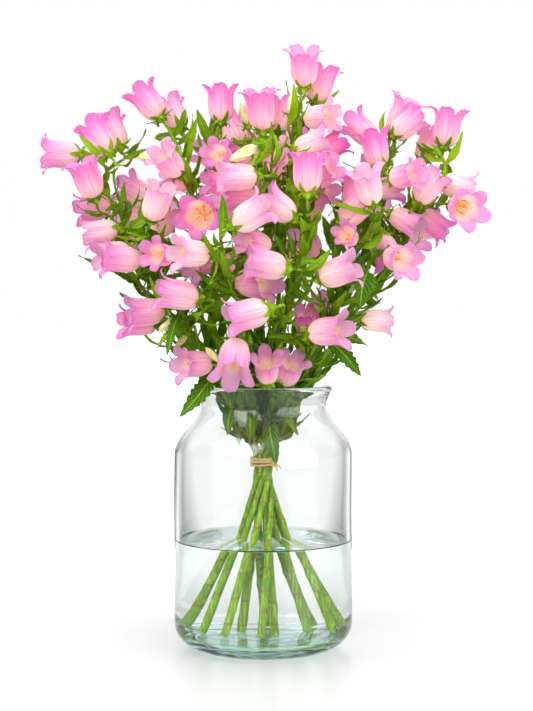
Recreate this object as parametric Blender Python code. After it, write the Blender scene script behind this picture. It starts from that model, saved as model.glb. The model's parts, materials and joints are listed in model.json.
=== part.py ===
"""Pink Canterbury bells, tied with twine, standing in water in a glass jar.

Lengths in this file are millimetres. They become metres where a mesh is made.
The jar's axis is Z, it stands on Z = 0, and the front of the bunch faces -Y.

The places of the flowers are readings of a front view, in its pixels, each with a depth.
Function from_view turns a reading into millimetres.
"""

import math
import random
from collections import namedtuple

import bmesh
import bpy
import numpy as np
from mathutils import Matrix, Vector, kdtree
from mathutils.bvhtree import BVHTree

METRES = 0.001
GAP = 0.35                    # what is left free between two pieces that touch

# The front view: how far the eye is from the jar's axis, and where the view's pixels lie
EYE_DISTANCE = 1474.0
EYE_HEIGHT = 331.0
EYE_RIGHT = 3.2
VIEW_FOCUS_PX = 1499.5
VIEW_MIDDLE_PX = 266.5
HORIZON_PX = 308.0

# Jar
JAR_RADIUS = 87.5
NECK_RADIUS = 62.0
GLASS = 4.0
FLOOR = 13.0
FOOT_RADIUS = 61.5
INNER_CORNER = 22.0
SHOULDER_LOW = 188.0
SHOULDER_HIGH = 238.0
LIP_HEIGHT = 252.0
LIP_RADIUS = 65.0
LIP_ROUND = 3.1
JAR_SIDES = 24

# Water
WATER_LEVEL = 104.0

# Stems and twine
TIE_HEIGHT = 180.0
TIE_RING = 8.2
TIE_INNER_RING = 2.8
TIE_TWIST = 78.0
TIE_OUTER = 9                 # how many stems stand in the tie's outer ring
TIE_INNER_TURN = 150.0
TIE_REACH = 9.0               # how far above and below its middle the tie holds the stems
STEM_SIDES = 5
STEM_FOOT_RADIUS = 3.1
STEM_TIE_RADIUS = 2.05
STEM_TAPER = 40.0             # how far below the tie the stems start to thin
BUNDLE_LEVELS = (14.6, 50, 85, 115, 140, 160, 173, 187, 204, 226, 250)
BUNDLE_ROUNDS = 500
BUNDLE_STRAIGHTEN = 0.15      # share by which a bent stem straightens in each round
BUNDLE_ROOM = 0.5
FACET_SHARE = 0.93            # a faceted stem's radius to its flats, beside that to its corners
NECK_ROOM = 2.5               # what stems leave free inside the neck, and how far above it
NECK_ABOVE = 8.0
HOLE_START = 12.0             # how far below a stem's end its hole in the water starts
STEM_TOP_RADIUS = 1.5
STALK_RADIUS = 1.35
STALK_SIDES = 3
STALK_RISE = 12.0             # a stalk that rises less than this costs more
STALK_LEAST = 14.0
STALK_LONG = 45.0
STALK_CURVE = 30.0
STALK_STRAIGHT = 9.0          # the straight end of a stalk under its calyx
TWINE_RADIUS = 1.15
TWINE_TURNS = 3
TWINE_INSIDE = 10.9
TWINE_SIDES = 16
KNOT = (9.4, -8.6)
TWINE_ENDS = ((2.5, -7.0), (6.0, -5.0))   # how far the two ends reach aside and down

# Bell, along its axis from where it sits in its calyx
BELL_LENGTH = 35.0
BELL_SHOULDER = (7.0, 10.0)
BELL_BELLY = (21.0, 14.6)
BELL_NOTCH = (32.0, 15.5)
LOBE_TIP = (37.0, 23.0)
BELL_HOLLOW = 6.0             # where the hollow's point lies
BELL_SINK = 1.5               # how far a bell that is part of its stem's node sits down in its calyx
ROOT_SINK = 1.2               # how far stalks and leaves start behind the middle of what they grow from
PINCH = 0.002                 # corners that a union leaves nearer than this become one
SCRAP = 150.0                 # mm3, the most that is dropped as a loose bit
PETALS = 5
BUD_LENGTH = 34.0
BUD_RINGS = ((2.0, 4.5), (12.0, 8.0), (24.0, 6.0))
CALYX_DEPTH = 7.0
SEPAL_TIP = (5.0, 13.5)
SEPAL_NOTCH = (-1.2, 4.6)

# Leaves
LEAF_THICKNESS = 1.3

Stem = namedtuple("Stem", "name foot tie_place guides")
Bloom = namedtuple("Bloom", "stem group kind foot mouth depth toward size")
Leaf = namedtuple("Leaf", "stem root tip width")

# Each stem: its cut end on the jar's floor (mm), its place round the tie, and the points that it
# passes above the rim as (across, down, depth) readings
STEMS = [
    Stem("back", (-2, -33), 0, [
        (262, 388, 45), (262, 330, 80), (260, 260, 100), (257, 200, 100), (254, 150, 80)]),
    Stem("left_high", (54, -4), 1, [
        (222, 388, 20), (178, 335, 20), (143, 298, 8), (119, 258, 0), (108, 214, 8), (104, 176, 8)]),
    Stem("left_mid", (33, 3), 2, [
        (232, 388, -20), (208, 320, -32), (188, 250, -38), (182, 200, -32), (177, 150, -8)]),
    Stem("left_low", (54, 24), 3, [
        (226, 390, -36), (200, 345, -52), (174, 305, -50), (156, 275, -40)]),
    Stem("front_low", (29, 53), 4, [
        (248, 388, -44), (243, 365, -62), (240, 340, -76)]),
    Stem("front", (2, 64), 5, [
        (272, 385, -36), (285, 350, -62), (298, 300, -74), (307, 270, -76), (314, 230, -74),
        (307, 200, -78)]),
    Stem("right_mid", (-50, 34), 6, [
        (290, 388, -32), (315, 340, -52), (334, 290, -60), (345, 255, -56), (350, 226, -52)]),
    Stem("right_far", (-47, -7), 7, [
        (300, 388, -8), (350, 320, -14), (395, 255, -24), (420, 212, -26), (433, 175, -10),
        (438, 150, 6)]),
    Stem("right_high", (-31, -24), 8, [
        (292, 388, 14), (330, 320, 22), (364, 250, 18), (384, 190, 6), (390, 150, 6), (394, 130, 10)]),
    Stem("mid_left", (9, -16), 9, [
        (250, 388, 4), (240, 320, -10), (233, 250, -22), (226, 190, -24), (222, 145, -14)]),
    Stem("top", (-16, 7), 10, [
        (268, 388, 2), (278, 320, 0), (285, 250, -5), (290, 190, -8), (292, 140, -5), (298, 104, 0)]),
]

# Each bloom: its stem, the node it shares with its neighbours, its kind, where it sits in its
# calyx and the middle of its mouth as readings, its depth, how far it turns to the front in
# degrees, and its size beside a full-grown bell
BLOOMS = [
    Bloom("left_high", "a", "bell", (80, 155), (45, 154), 0, 0, 1.0),
    Bloom("left_high", "b", "bell", (105, 154), (88, 126), 14, -20, 1.0),
    Bloom("left_high", "c", "bell", (94, 199), (82, 163), -32, 15, 1.02),
    Bloom("left_high", "d", "bell", (112, 207), (78, 212), -2, 0, 0.95),
    Bloom("left_high", "d", "bell", (113, 232), (85, 237), -10, 5, 0.95),
    Bloom("left_high", "d", "bell", (140, 226), (112, 238), 14, 0, 0.85),
    Bloom("left_high", "b", "bell", (125, 150), (112, 122), 42, -25, 0.95),
    Bloom("left_mid", "a", "bell", (162, 122), (139, 90), 10, -10, 1.0),
    Bloom("left_mid", "b", "bell", (184, 172), (170, 154), -64, 40, 0.9),
    Bloom("left_mid", "b", "bell", (183, 180), (153, 170), -46, 15, 0.9),
    Bloom("left_mid", "c", "bell", (150, 219), (160, 190), -66, 20, 0.95),
    Bloom("left_mid", "c", "bell", (163, 230), (178, 202), -48, 10, 0.95),
    Bloom("left_mid", "d", "bell", (202, 209), (197, 214), -98, 78, 1.1),
    Bloom("left_mid", "bud", "bud", (156, 158), (133, 157), -10, 0, 0.75),
    Bloom("left_high", "d", "bell", (125, 250), (96, 256), -34, 20, 0.95),
    Bloom("left_high", "d", "bell", (141, 262), (108, 258), -58, 10, 0.95),
    Bloom("left_low", "b", "bell", (166, 259), (153, 257), -78, 58, 0.8),
    Bloom("left_low", "b", "bell", (211, 249), (180, 247), -98, 30, 0.95),
    Bloom("left_low", "b", "bell", (208, 258), (188, 270), -70, 30, 0.9),
    Bloom("left_low", "c", "bell", (199, 294), (160, 287), -84, 10, 1.05),
    Bloom("left_low", "d", "bell", (168, 308), (133, 312), -44, 15, 1.0),
    Bloom("left_low", "d", "bell", (150, 325), (118, 325), -28, 15, 0.95),
    Bloom("left_low", "bud", "bud", (170, 322), (157, 334), -62, 0, 0.6),
    Bloom("left_low", "bud", "bud", (184, 338), (174, 350), -56, 0, 0.55),
    Bloom("mid_left", "a", "bell", (221, 119), (221, 88), -10, 0, 0.95),
    Bloom("mid_left", "b", "bell", (226, 168), (215, 162), -66, 66, 0.75),
    Bloom("mid_left", "b", "bell", (220, 168), (197, 165), -44, 20, 0.8),
    Bloom("mid_left", "b", "bell", (256, 160), (237, 151), -44, 20, 0.85),
    Bloom("mid_left", "b", "bell", (229, 201), (213, 188), -48, 25, 0.85),
    Bloom("mid_left", "d", "bell", (241, 225), (229, 208), -72, 30, 0.9),
    Bloom("mid_left", "c", "bell", (251, 177), (220, 178), -82, 10, 0.95),
    Bloom("mid_left", "c", "bell", (256, 195), (224, 196), -66, 5, 0.95),
    Bloom("mid_left", "bud", "bud", (258, 153), (228, 168), -80, 0, 0.95),
    Bloom("mid_left", "bud", "bud", (247, 123), (240, 100), -10, 0, 0.75),
    Bloom("top", "a", "bell", (261, 131), (258, 93), -32, 15, 1.05),
    Bloom("top", "a", "bell", (280, 128), (281, 98), -8, 0, 0.9),
    Bloom("top", "b", "bell", (299, 88), (299, 56), 0, 25, 1.0),
    Bloom("top", "b", "bell", (321, 97), (331, 64), 14, 0, 1.0),
    Bloom("top", "c", "bell", (306, 115), (332, 113), -26, 35, 0.9),
    Bloom("top", "c", "bell", (297, 148), (325, 138), -38, 0, 0.9),
    Bloom("top", "c", "bell", (322, 152), (344, 138), -6, 0, 0.9),
    Bloom("top", "d", "bell", (299, 150), (290, 144), -64, 62, 0.65),
    Bloom("top", "d", "bell", (260, 186), (266, 168), -50, 40, 0.75),
    Bloom("top", "bud", "bud", (290, 110), (292, 92), -36, 0, 0.6),
    Bloom("front", "a", "bell", (306, 190), (306, 156), -82, 5, 1.02),
    Bloom("front", "b", "bell", (312, 176), (331, 165), -50, 35, 0.85),
    Bloom("front", "b", "bell", (306, 190), (331, 184), -44, 30, 0.85),
    Bloom("front", "b", "bell", (318, 220), (327, 199), -36, 20, 0.85),
    Bloom("front", "c", "bell", (234, 225), (264, 207), -102, 10, 1.0),
    Bloom("front", "c", "bell", (296, 218), (269, 196), -84, 10, 0.95),
    Bloom("front", "d", "bell", (288, 253), (254, 248), -106, 5, 1.0),
    Bloom("front", "d", "bell", (262, 262), (239, 254), -80, 35, 0.85),
    Bloom("front", "e", "bell", (239, 284), (268, 284), -112, 40, 1.05),
    Bloom("front", "f", "bell", (263, 311), (230, 320), -114, 10, 1.05),
    Bloom("front_low", "a", "bell", (236, 346), (233, 374), -106, 40, 1.1),
    Bloom("front_low", "b", "bell", (265, 383), (263, 360), -84, 45, 0.85),
    Bloom("front_low", "b", "bell", (289, 380), (296, 360), -74, 40, 0.85),
    Bloom("front_low", "c", "bell", (206, 364), (181, 364), -70, 35, 0.95),
    Bloom("front_low", "bud", "bud", (215, 357), (204, 346), -66, 0, 0.6),
    Bloom("right_mid", "a", "bell", (354, 238), (344, 232), -80, 62, 0.68),
    Bloom("right_mid", "b", "bell", (383, 210), (375, 182), -68, 25, 0.95),
    Bloom("right_mid", "b", "bell", (333, 218), (357, 196), -58, 0, 0.95),
    Bloom("right_mid", "b", "bell", (345, 208), (349, 182), -38, 0, 0.85),
    Bloom("right_mid", "c", "bell", (323, 276), (354, 265), -98, 15, 1.0),
    Bloom("right_mid", "d", "bell", (312, 333), (343, 330), -98, 30, 1.0),
    Bloom("right_mid", "e", "young", (361, 320), (390, 321), -56, 0, 0.8),
    Bloom("right_mid", "f", "bell", (305, 330), (302, 307), -64, 30, 0.75),
    Bloom("right_mid", "f", "bell", (318, 324), (326, 304), -58, 30, 0.75),
    Bloom("right_mid", "g", "bell", (314, 252), (302, 232), -48, 30, 0.85),
    Bloom("right_mid", "bud", "bud", (356, 284), (347, 294), -64, 0, 0.5),
    Bloom("right_high", "a", "bell", (378, 131), (358, 113), 8, -20, 0.95),
    Bloom("right_high", "a", "bell", (371, 166), (366, 141), -14, 0, 0.95),
    Bloom("right_high", "b", "bell", (399, 123), (411, 97), 14, 15, 1.0),
    Bloom("right_high", "b", "bell", (405, 135), (424, 120), 6, 0, 0.9),
    Bloom("right_high", "c", "bell", (389, 170), (408, 167), -46, 45, 0.85),
    Bloom("right_high", "c", "bell", (390, 193), (413, 192), -34, 0, 0.85),
    Bloom("right_far", "a", "bell", (439, 144), (445, 110), 10, 0, 1.0),
    Bloom("right_far", "b", "bell", (444, 172), (468, 178), -8, 0, 0.9),
    Bloom("right_far", "b", "bell", (428, 206), (445, 183), -42, 0, 0.95),
    Bloom("right_far", "b", "bell", (428, 200), (422, 172), -14, 10, 0.9),
    Bloom("right_far", "c", "bell", (462, 206), (467, 210), -40, 75, 1.05),
    Bloom("right_far", "d", "bell", (391, 244), (400, 249), -80, 62, 0.95),
    Bloom("right_far", "d", "bell", (386, 254), (393, 281), -58, 0, 0.95),
    Bloom("right_far", "e", "bell", (398, 212), (418, 222), -44, 20, 0.85),
    Bloom("right_far", "e", "bell", (430, 216), (446, 230), -14, 10, 0.85),
    Bloom("back", "a", "bell", (240, 150), (226, 122), 70, -25, 1.0),
    Bloom("back", "a", "bell", (224, 168), (200, 148), 86, -25, 1.0),
    Bloom("back", "a", "bell", (256, 166), (255, 140), 92, -35, 1.0),
    Bloom("back", "b", "bell", (276, 156), (290, 130), 72, -30, 1.0),
    Bloom("back", "b", "bell", (292, 176), (316, 156), 86, -25, 0.95),
    Bloom("back", "b", "bell", (272, 186), (286, 164), 108, -45, 1.0),
    Bloom("back", "c", "bell", (258, 206), (256, 196), 140, -75, 1.05),
    Bloom("back", "c", "bell", (248, 222), (224, 208), 126, -40, 1.0),
    Bloom("back", "c", "bell", (266, 222), (290, 208), 128, -40, 1.0),
    Bloom("back", "d", "bell", (250, 272), (230, 260), 122, -45, 1.0),
    Bloom("back", "d", "bell", (262, 264), (261, 252), 144, -70, 1.0),
    Bloom("back", "d", "bell", (274, 262), (294, 248), 128, -45, 1.0),
    Bloom("left_high", "e", "bell", (150, 200), (126, 186), 62, -30, 1.0),
    Bloom("left_high", "e", "bell", (152, 222), (128, 216), 78, -45, 1.0),
    Bloom("left_high", "e", "bell", (170, 252), (148, 246), 86, -45, 1.0),
    Bloom("left_mid", "a", "bell", (182, 130), (170, 104), 44, -25, 0.95),
    Bloom("right_high", "d", "bell", (352, 190), (372, 172), 66, -30, 1.0),
    Bloom("right_high", "d", "bell", (350, 214), (376, 204), 82, -40, 1.0),
    Bloom("right_high", "d", "bell", (338, 244), (362, 236), 90, -45, 1.0),
    Bloom("right_far", "a", "bell", (420, 160), (430, 134), 44, -25, 0.95),
    Bloom("right_far", "e", "bell", (410, 222), (438, 214), 18, -10, 0.95),
    Bloom("right_far", "e", "bell", (396, 246), (424, 242), 42, -30, 0.95),
]

# Large leaves that stand out: the stem they grow from, root and tip as (across, down, depth)
# readings, and the width
LARGE_LEAVES = [
    Leaf("left_low", (207, 378, -64), (180, 417, -84), 17),
    Leaf("right_mid", (375, 258, -60), (360, 308, -88), 22),
    Leaf("right_mid", (352, 262, -40), (380, 302, -30), 15),
    Leaf("left_low", (158, 292, -50), (138, 274, -44), 15),
    Leaf("left_low", (180, 312, -76), (167, 356, -88), 10),
    Leaf("front", (240, 338, -96), (219, 324, -92), 9),
    Leaf("right_mid", (330, 345, -66), (361, 376, -60), 15),
    Leaf("right_mid", (322, 350, -60), (332, 384, -58), 16),
    Leaf("right_high", (330, 330, 20), (368, 346, 14), 13),
    Leaf("right_far", (424, 168, -20), (446, 204, -44), 9),
    Leaf("mid_left", (262, 420, -12), (275, 462, -16), 15),
    Leaf("left_mid", (224, 412, -18), (239, 444, -22), 7),
]

# How leaves are set: the range of their lengths, widths beside their length, leans in degrees and
# droops, the turns that are tried at a place, and the room that is left round a leaf
LEAF_LENGTHS = (30.0, 52.0)
LEAF_WIDTHS = (0.22, 0.32)
LEAF_LEANS = (35, 75)
LEAF_DROOPS = (0.0, 0.25)
LEAF_TRIES = 9
LEAF_SPACING = 25.0
LEAF_NEIGHBOURS = 120.0       # leaves whose roots are further apart aren't compared
LEAF_ROOM = 1.6               # from flowers
LEAF_WOOD_ROOM = 2.2          # from other stems
LEAF_GLASS_ROOM = 3.5
LEAF_ARCH = 0.12
EDGE_WAVE = 0.14
LARGE_LEAF_SHIFTS = (0, -8, 8, -16, 16, -26, 26, -38, 38)

# How the bunch settles: all shares are of the overlap or gap that is found, in each round
SETTLE_ROUNDS = 120
PUSH_SHARE = 0.35
PULL_SHARE = 0.3
BEND_SHARE = 0.5
BEND_GAIN = 1.6
FLOWER_YIELD = 0.02           # how much of a strand's push its flower takes
OWN_STALK = 17.0              # a stalk may be this near its own flower's foot
MOST_MOVE = 3.0
DEPTH_FIRST = 0.8             # how much more flowers move in depth than across the view
ACROSS = (0.6, 1, 0.6)
HOME_SHARE = (0.03, 0.004, 0.03)
MATE_OVERLAP = 2.0            # how far bells of one node may run into each other
STIFFNESS = 0.06
TOUCH_ALONG = (12, 29)        # where along its axis a bell may be touched, and how far out
TOUCH_RADIUS = 13.2
TOUCH = 0.8                   # how near partners' lobes are drawn to the place where they touch
ROOM_BETWEEN = 1.0            # clear space that settling leaves between the pieces of two nodes
STRAND_ROOM = 1.8             # the same between the stems and stalks of two nodes
OUTSIDE = -99                 # stands for a place that a flower's reach doesn't cover


def unit(vector):
    """Give a vector's direction."""
    vector = np.asarray(vector, float)
    return vector / max(np.linalg.norm(vector), 1e-9)


def from_view(across, down, depth):
    """Turn a reading of the front view into a point, at this depth behind the jar's axis."""
    step = (EYE_DISTANCE + depth) / VIEW_FOCUS_PX
    return np.array([EYE_RIGHT + (across - VIEW_MIDDLE_PX) * step, depth,
                     EYE_HEIGHT - (down - HORIZON_PX) * step])


def smooth_curve(points, steps):
    """Run a Catmull-Rom curve through points, with this many steps between two of them."""
    points = np.asarray(points, float)
    ends = np.vstack([2 * points[0] - points[1], points, 2 * points[-1] - points[-2]])
    curve = []
    for k in range(len(points) - 1):
        a, b, c, d = ends[k:k + 4]
        for step in range(steps):
            t = step / steps
            curve.append(0.5 * (2 * b + (c - a) * t + (2 * a - 5 * b + 4 * c - d) * t ** 2
                                + (3 * b - a - 3 * c + d) * t ** 3))
    curve.append(points[-1])
    return np.array(curve)


class Strand:
    """A stem or a stalk: guide points from root to end, radii there, and what carries it."""

    def __init__(self, stem, points, radii, parent=None, root=0, bloom=None):
        self.stem = stem
        self.points = np.array(points, float)
        self.radii = np.array(radii, float)
        self.parent = parent
        self.root = root
        self.bloom = bloom

    def dense(self, steps=4):
        """Give closely set points along the strand, with their radii."""
        count = len(self.points)
        at = np.linspace(0, count - 1, (count - 1) * steps + 1)
        columns = [np.interp(at, range(count), self.points[:, k]) for k in range(3)]
        return np.column_stack(columns), np.interp(at, range(count), self.radii), at


class Flower:
    """An open bell or a closed bud, by the point where it sits in its calyx and its axis."""

    def __init__(self, number, bloom):
        self.number = number
        self.bloom = bloom
        self.kind = bloom.kind
        mouth = from_view(*bloom.mouth, bloom.depth)
        foot = from_view(*bloom.foot, bloom.depth)
        flat = unit(mouth - foot)
        lean = math.radians(bloom.toward)
        self.axis = unit(flat * math.cos(lean) + np.array([0, -1, 0]) * math.sin(lean))
        self.size = bloom.size
        self.foot = mouth - self.axis * BELL_LENGTH * self.size
        self.home = self.foot.copy()
        self.mate = None

    @property
    def node(self):
        """The stem and the letter of the node that the flower is part of."""
        return self.bloom.stem, self.bloom.group

    @property
    def mouth(self):
        """The middle of the mouth."""
        return self.foot + self.axis * BELL_LENGTH * self.size

    @property
    def turn(self):
        """How far the flower is turned about its axis, so that a lobe points at its mate."""
        if self.mate is None:
            return self.number * 1.7
        side, other = frame_of(self.axis)
        way = self.mate.mouth - self.mouth
        return math.atan2(way @ other, way @ side)

    def lobe_towards(self, other):
        """The middle of the lobe that points most nearly at another flower."""
        side, up = frame_of(self.axis, self.turn)
        way = other.mouth - self.mouth
        angles = [2 * math.pi * k / PETALS for k in range(PETALS)]
        lobes = [side * math.cos(a) + up * math.sin(a) for a in angles]
        return self.mouth + max(lobes, key=lambda lobe: lobe @ way) * 20 * self.size

    @property
    def stalk_end(self):
        """Where the stalk runs into the calyx."""
        return self.foot - self.axis * CALYX_DEPTH * 0.75 * self.size


# How far a flower reaches from its axis, calyx included, at places along that axis
REACH_ALONG = np.array([-8, -1, 5, 9, 20, 30, 34, 40], float)
BELL_REACH = np.array([4.0, 7.5, 14, 14.2, 15, 16.5, 23.5, 23.5], float)
BODY_REACH = np.array([4.0, 7.5, 12, 13, 14.6, 14, 14, 12], float)
BUD_REACH = np.array([4.0, 7.5, 13, 10, 8.5, 6, 4, 2], float)


def sample_ring(along, radius, count):
    """Give points on a ring round the axis of a flower that points along +Z."""
    turns = [2 * math.pi * k / count for k in range(count)]
    return [(radius * math.cos(t), radius * math.sin(t), along) for t in turns]


CALYX_SAMPLES = [(0, 0, -CALYX_DEPTH)] + sample_ring(*SEPAL_TIP, 5)
BELL_SAMPLES = (sample_ring(*BELL_SHOULDER, 5) + sample_ring(*BELL_BELLY, 8) + sample_ring(31, 14.5, 5)
                + sample_ring(*LOBE_TIP, 10))
BUD_SAMPLES = sample_ring(10, 9, 5) + sample_ring(20, 8, 5)
BUD_SAMPLES += [(0, 0, 30)] * (len(BELL_SAMPLES) - len(BUD_SAMPLES))


def frame_of(axis, turn=0.0):
    """Give two directions that are square to an axis and to each other."""
    helper = np.array([0, 0, 1.0]) if abs(axis[2]) < 0.9 else np.array([1.0, 0, 0])
    side = unit(np.cross(axis, helper))
    other = np.cross(axis, side)
    return (side * math.cos(turn) + other * math.sin(turn),
            other * math.cos(turn) - side * math.sin(turn))


def flower_samples(flowers):
    """Give every flower's sample points in the world, as one array per flower."""
    rows = []
    for flower in flowers:
        local = CALYX_SAMPLES + (BUD_SAMPLES if flower.kind == "bud" else BELL_SAMPLES)
        side, other = frame_of(flower.axis)
        basis = np.array([side, other, flower.axis])
        rows.append(flower.foot + np.array(local, float) * flower.size @ basis)
    return np.array(rows)


def reach_at(flowers, along, body_only):
    """Give the radius that each flower (first index) takes up at each place along its axis."""
    result = np.zeros_like(along)
    for k, flower in enumerate(flowers):
        profile = BUD_REACH if flower.kind == "bud" else BODY_REACH if body_only else BELL_REACH
        place = along[k] / flower.size
        reach = np.interp(place, REACH_ALONG, profile) * flower.size
        inside = (place > REACH_ALONG[0] - 1) & (place < REACH_ALONG[-1] + 1)
        result[k] = np.where(inside, reach, OUTSIDE)
    return result


def way_to_touch(one, other):
    """Give the shortest move of one bell that brings a lobe of one of the two onto the other."""
    ways = [other.lobe_towards(one) - one.lobe_towards(other)]
    for giver, taker, sign in ((one, other, 1), (other, one, -1)):
        lobe = giver.lobe_towards(taker)
        low, high = (place * taker.size for place in TOUCH_ALONG)
        centre = taker.foot + taker.axis * min(max((lobe - taker.foot) @ taker.axis, low), high)
        wall = centre + unit(lobe - centre) * TOUCH_RADIUS * taker.size
        ways.append((wall - lobe) * sign)
    return min(ways, key=np.linalg.norm)


def push_flowers(flowers, pairs):
    """Move flowers of two nodes clear of each other, mostly in depth, and draw partners together."""
    samples = flower_samples(flowers)
    feet = np.array([f.foot for f in flowers])
    axes = np.array([f.axis for f in flowers])
    calyx = len(CALYX_SAMPLES)
    offset = samples[None] - feet[:, None, None]
    along = np.einsum("basx,bx->bas", offset, axes)
    out = offset - along[..., None] * axes[:, None, None]
    radius = np.linalg.norm(out, axis=-1)
    full = reach_at(flowers, along, False) + ROOM_BETWEEN - radius
    body = reach_at(flowers, along, True) - MATE_OVERLAP - radius
    keys = [f.node for f in flowers]
    together = np.array([[a == b for a in keys] for b in keys])
    inside = full.copy()
    inside[together, calyx:] = body[together, calyx:]
    inside[np.arange(len(flowers)), np.arange(len(flowers))] = OUTSIDE
    deepest = inside.argmax(axis=-1)
    moves = np.zeros_like(feet)
    depths = [flower.foot[1] + flower.mouth[1] for flower in flowers]
    for b, a in np.argwhere(inside.max(axis=-1) > 0):
        amount = inside[b, a, deepest[b, a]]
        direction = unit(out[b, a, deepest[b, a]])
        behind = 1.0 if depths[a] >= depths[b] else -1.0
        direction = unit(direction * ACROSS + np.array([0, DEPTH_FIRST * behind, 0]))
        moves[a] += direction * amount * PUSH_SHARE
        moves[b] -= direction * amount * PUSH_SHARE
    for one, other in pairs:
        pull = way_to_touch(one, other)
        if np.linalg.norm(pull) > TOUCH:
            moves[one.number] += pull * PULL_SHARE
            moves[other.number] -= pull * PULL_SHARE
    for flower, move in zip(flowers, moves):
        homeward = (flower.home - flower.foot) * HOME_SHARE
        flower.foot = flower.foot + np.clip(move, -MOST_MOVE, MOST_MOVE) + homeward


def follow(strands):
    """Bring the ends of each stalk back to its twig and its flower."""
    for strand in strands:
        if strand.parent:
            strand.points[0] = strand.parent.points[strand.root]
            strand.points[-1] = strand.bloom.stalk_end
            reach = np.linalg.norm(strand.points[-1] - strand.points[0])
            straight = min(STALK_STRAIGHT, reach * 0.3)
            strand.points[-2] = strand.points[-1] - strand.bloom.axis * straight


def push_strands(strands, flowers):
    """Bend stems and stalks clear of the flowers and of the strands of other stems."""
    follow(strands)
    clouds = [strand.dense() for strand in strands]
    points = np.vstack([cloud[0] for cloud in clouds])
    radii = np.concatenate([cloud[1] for cloud in clouds])
    owner = np.concatenate([np.full(len(cloud[0]), k) for k, cloud in enumerate(clouds)])
    moves = np.zeros_like(points)
    feet = np.array([f.foot for f in flowers])
    axes = np.array([f.axis for f in flowers])
    offset = points[None] - feet[:, None]
    along = np.einsum("bpx,bx->bp", offset, axes)
    out = offset - along[..., None] * axes[:, None]
    distance = np.linalg.norm(out, axis=-1)
    inside = reach_at(flowers, along, False) + radii + ROOM_BETWEEN - distance
    for k, strand in enumerate(strands):
        if strand.bloom:
            near = np.linalg.norm(points - strand.bloom.foot, axis=1) < OWN_STALK * strand.bloom.size
            inside[strand.bloom.number, near & (owner == k)] = OUTSIDE
    for b, p in np.argwhere(inside > 0):
        push = unit(out[b, p]) * inside[b, p] * BEND_SHARE
        moves[p] += push
        flowers[b].foot = flowers[b].foot - push * FLOWER_YIELD
    tree = kdtree.KDTree(len(points))
    for k, point in enumerate(points):
        tree.insert(point, k)
    tree.balance()
    for k, point in enumerate(points):
        for other, n, distance_n in tree.find_range(point, radii[k] + 5.0):
            lacking = radii[k] + radii[n] + STRAND_ROOM - distance_n
            if n > k and strands[owner[n]].stem != strands[owner[k]].stem and lacking > 0:
                push = unit(point - np.array(other) + (0, 1e-3, 0)) * lacking * BEND_SHARE
                moves[k] += push
                moves[n] -= push
    start = 0
    for strand, (dense, _, at) in zip(strands, clouds):
        part = moves[start:start + len(dense)]
        start += len(dense)
        last = len(strand.points) - (2 if strand.bloom else 0)
        first = 1 if strand.parent else len(BUNDLE_LEVELS)
        for k in range(first, last):
            weight = np.clip(1 - np.abs(at - k), 0, 1)[:, None]
            move = (part * weight).sum(axis=0) / weight.sum() * BEND_GAIN
            strand.points[k] += np.clip(move, -MOST_MOVE, MOST_MOVE)
        for k in range(first, min(last, len(strand.points) - 1)):
            middle = (strand.points[k - 1] + strand.points[k + 1]) / 2
            strand.points[k] += (middle - strand.points[k]) * STIFFNESS
        if strand.parent is None:
            hold_in_jar(strand)


def hold_in_jar(strand):
    """Keep a stem inside the jar's neck."""
    for point, radius in zip(strand.points, strand.radii):
        away = math.hypot(point[0], point[1])
        most = jar_inside(point[2]) - radius - NECK_ROOM
        if TIE_HEIGHT < point[2] < LIP_HEIGHT + NECK_ABOVE and away > most:
            point[:2] *= most / away


def tie_point(stem):
    """Give a stem's place in the tie, turned on from its foot as the bunch's spiral goes."""
    turn = math.radians(TIE_TWIST + 360 / TIE_OUTER * stem.tie_place)
    ring = TIE_RING
    if stem.tie_place >= TIE_OUTER:
        turn = math.radians(TIE_INNER_TURN + 180 * (stem.tie_place - TIE_OUTER))
        ring = TIE_INNER_RING
    return np.array([ring * math.sin(turn), -ring * math.cos(turn)])


def lay_bundle():
    """Lay the stems side by side from the jar's floor through the tie to the rim, by height."""
    levels = np.array(BUNDLE_LEVELS)
    rims = np.array([from_view(*stem.guides[0])[:2] for stem in STEMS])
    feet = np.array([stem.foot for stem in STEMS], float)
    ties = np.array([tie_point(stem) for stem in STEMS])
    low = np.clip((levels - FLOOR) / (TIE_HEIGHT - FLOOR), 0, 1)[None, :, None]
    high = np.clip((levels - TIE_HEIGHT) / (levels[-1] - TIE_HEIGHT), 0, 1)[None, :, None]
    path = feet[:, None] * (1 - low) + ties[:, None] * (low - high) + rims[:, None] * high
    radii = np.interp(levels, (FLOOR, TIE_HEIGHT - STEM_TAPER, TIE_HEIGHT),
                      (STEM_FOOT_RADIUS, STEM_FOOT_RADIUS * 0.85, STEM_TIE_RADIUS))
    held = TWINE_INSIDE - GAP - 0.2
    share = ((levels[1:-1] - levels[:-2]) / (levels[2:] - levels[:-2]))[None, :, None]
    for turn in range(BUNDLE_ROUNDS):
        if turn < BUNDLE_ROUNDS * 0.7:
            straight = path[:, :-2] * (1 - share) + path[:, 2:] * share
            path[:, 1:-1] += (straight - path[:, 1:-1]) * BUNDLE_STRAIGHTEN
        between = path[:, None] - path[None]
        distance = np.maximum(np.linalg.norm(between, axis=-1), 1e-6)
        lacking = np.maximum((2 * radii + BUNDLE_ROOM) / FACET_SHARE - distance, 0)
        lacking[np.arange(len(STEMS)), np.arange(len(STEMS))] = 0
        path += (between / distance[..., None] * lacking[..., None]).sum(axis=1) * PULL_SHARE
        away = np.linalg.norm(path, axis=-1)
        most = np.where(abs(levels - TIE_HEIGHT) < TIE_REACH, held, JAR_RADIUS * 2) - radii
        path *= np.minimum(1, most / np.maximum(away, 1e-6))[..., None]
        path[:, 0] = feet
        path[:, -1] = rims
    return [np.column_stack([row, levels]) for row in path], radii


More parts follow.
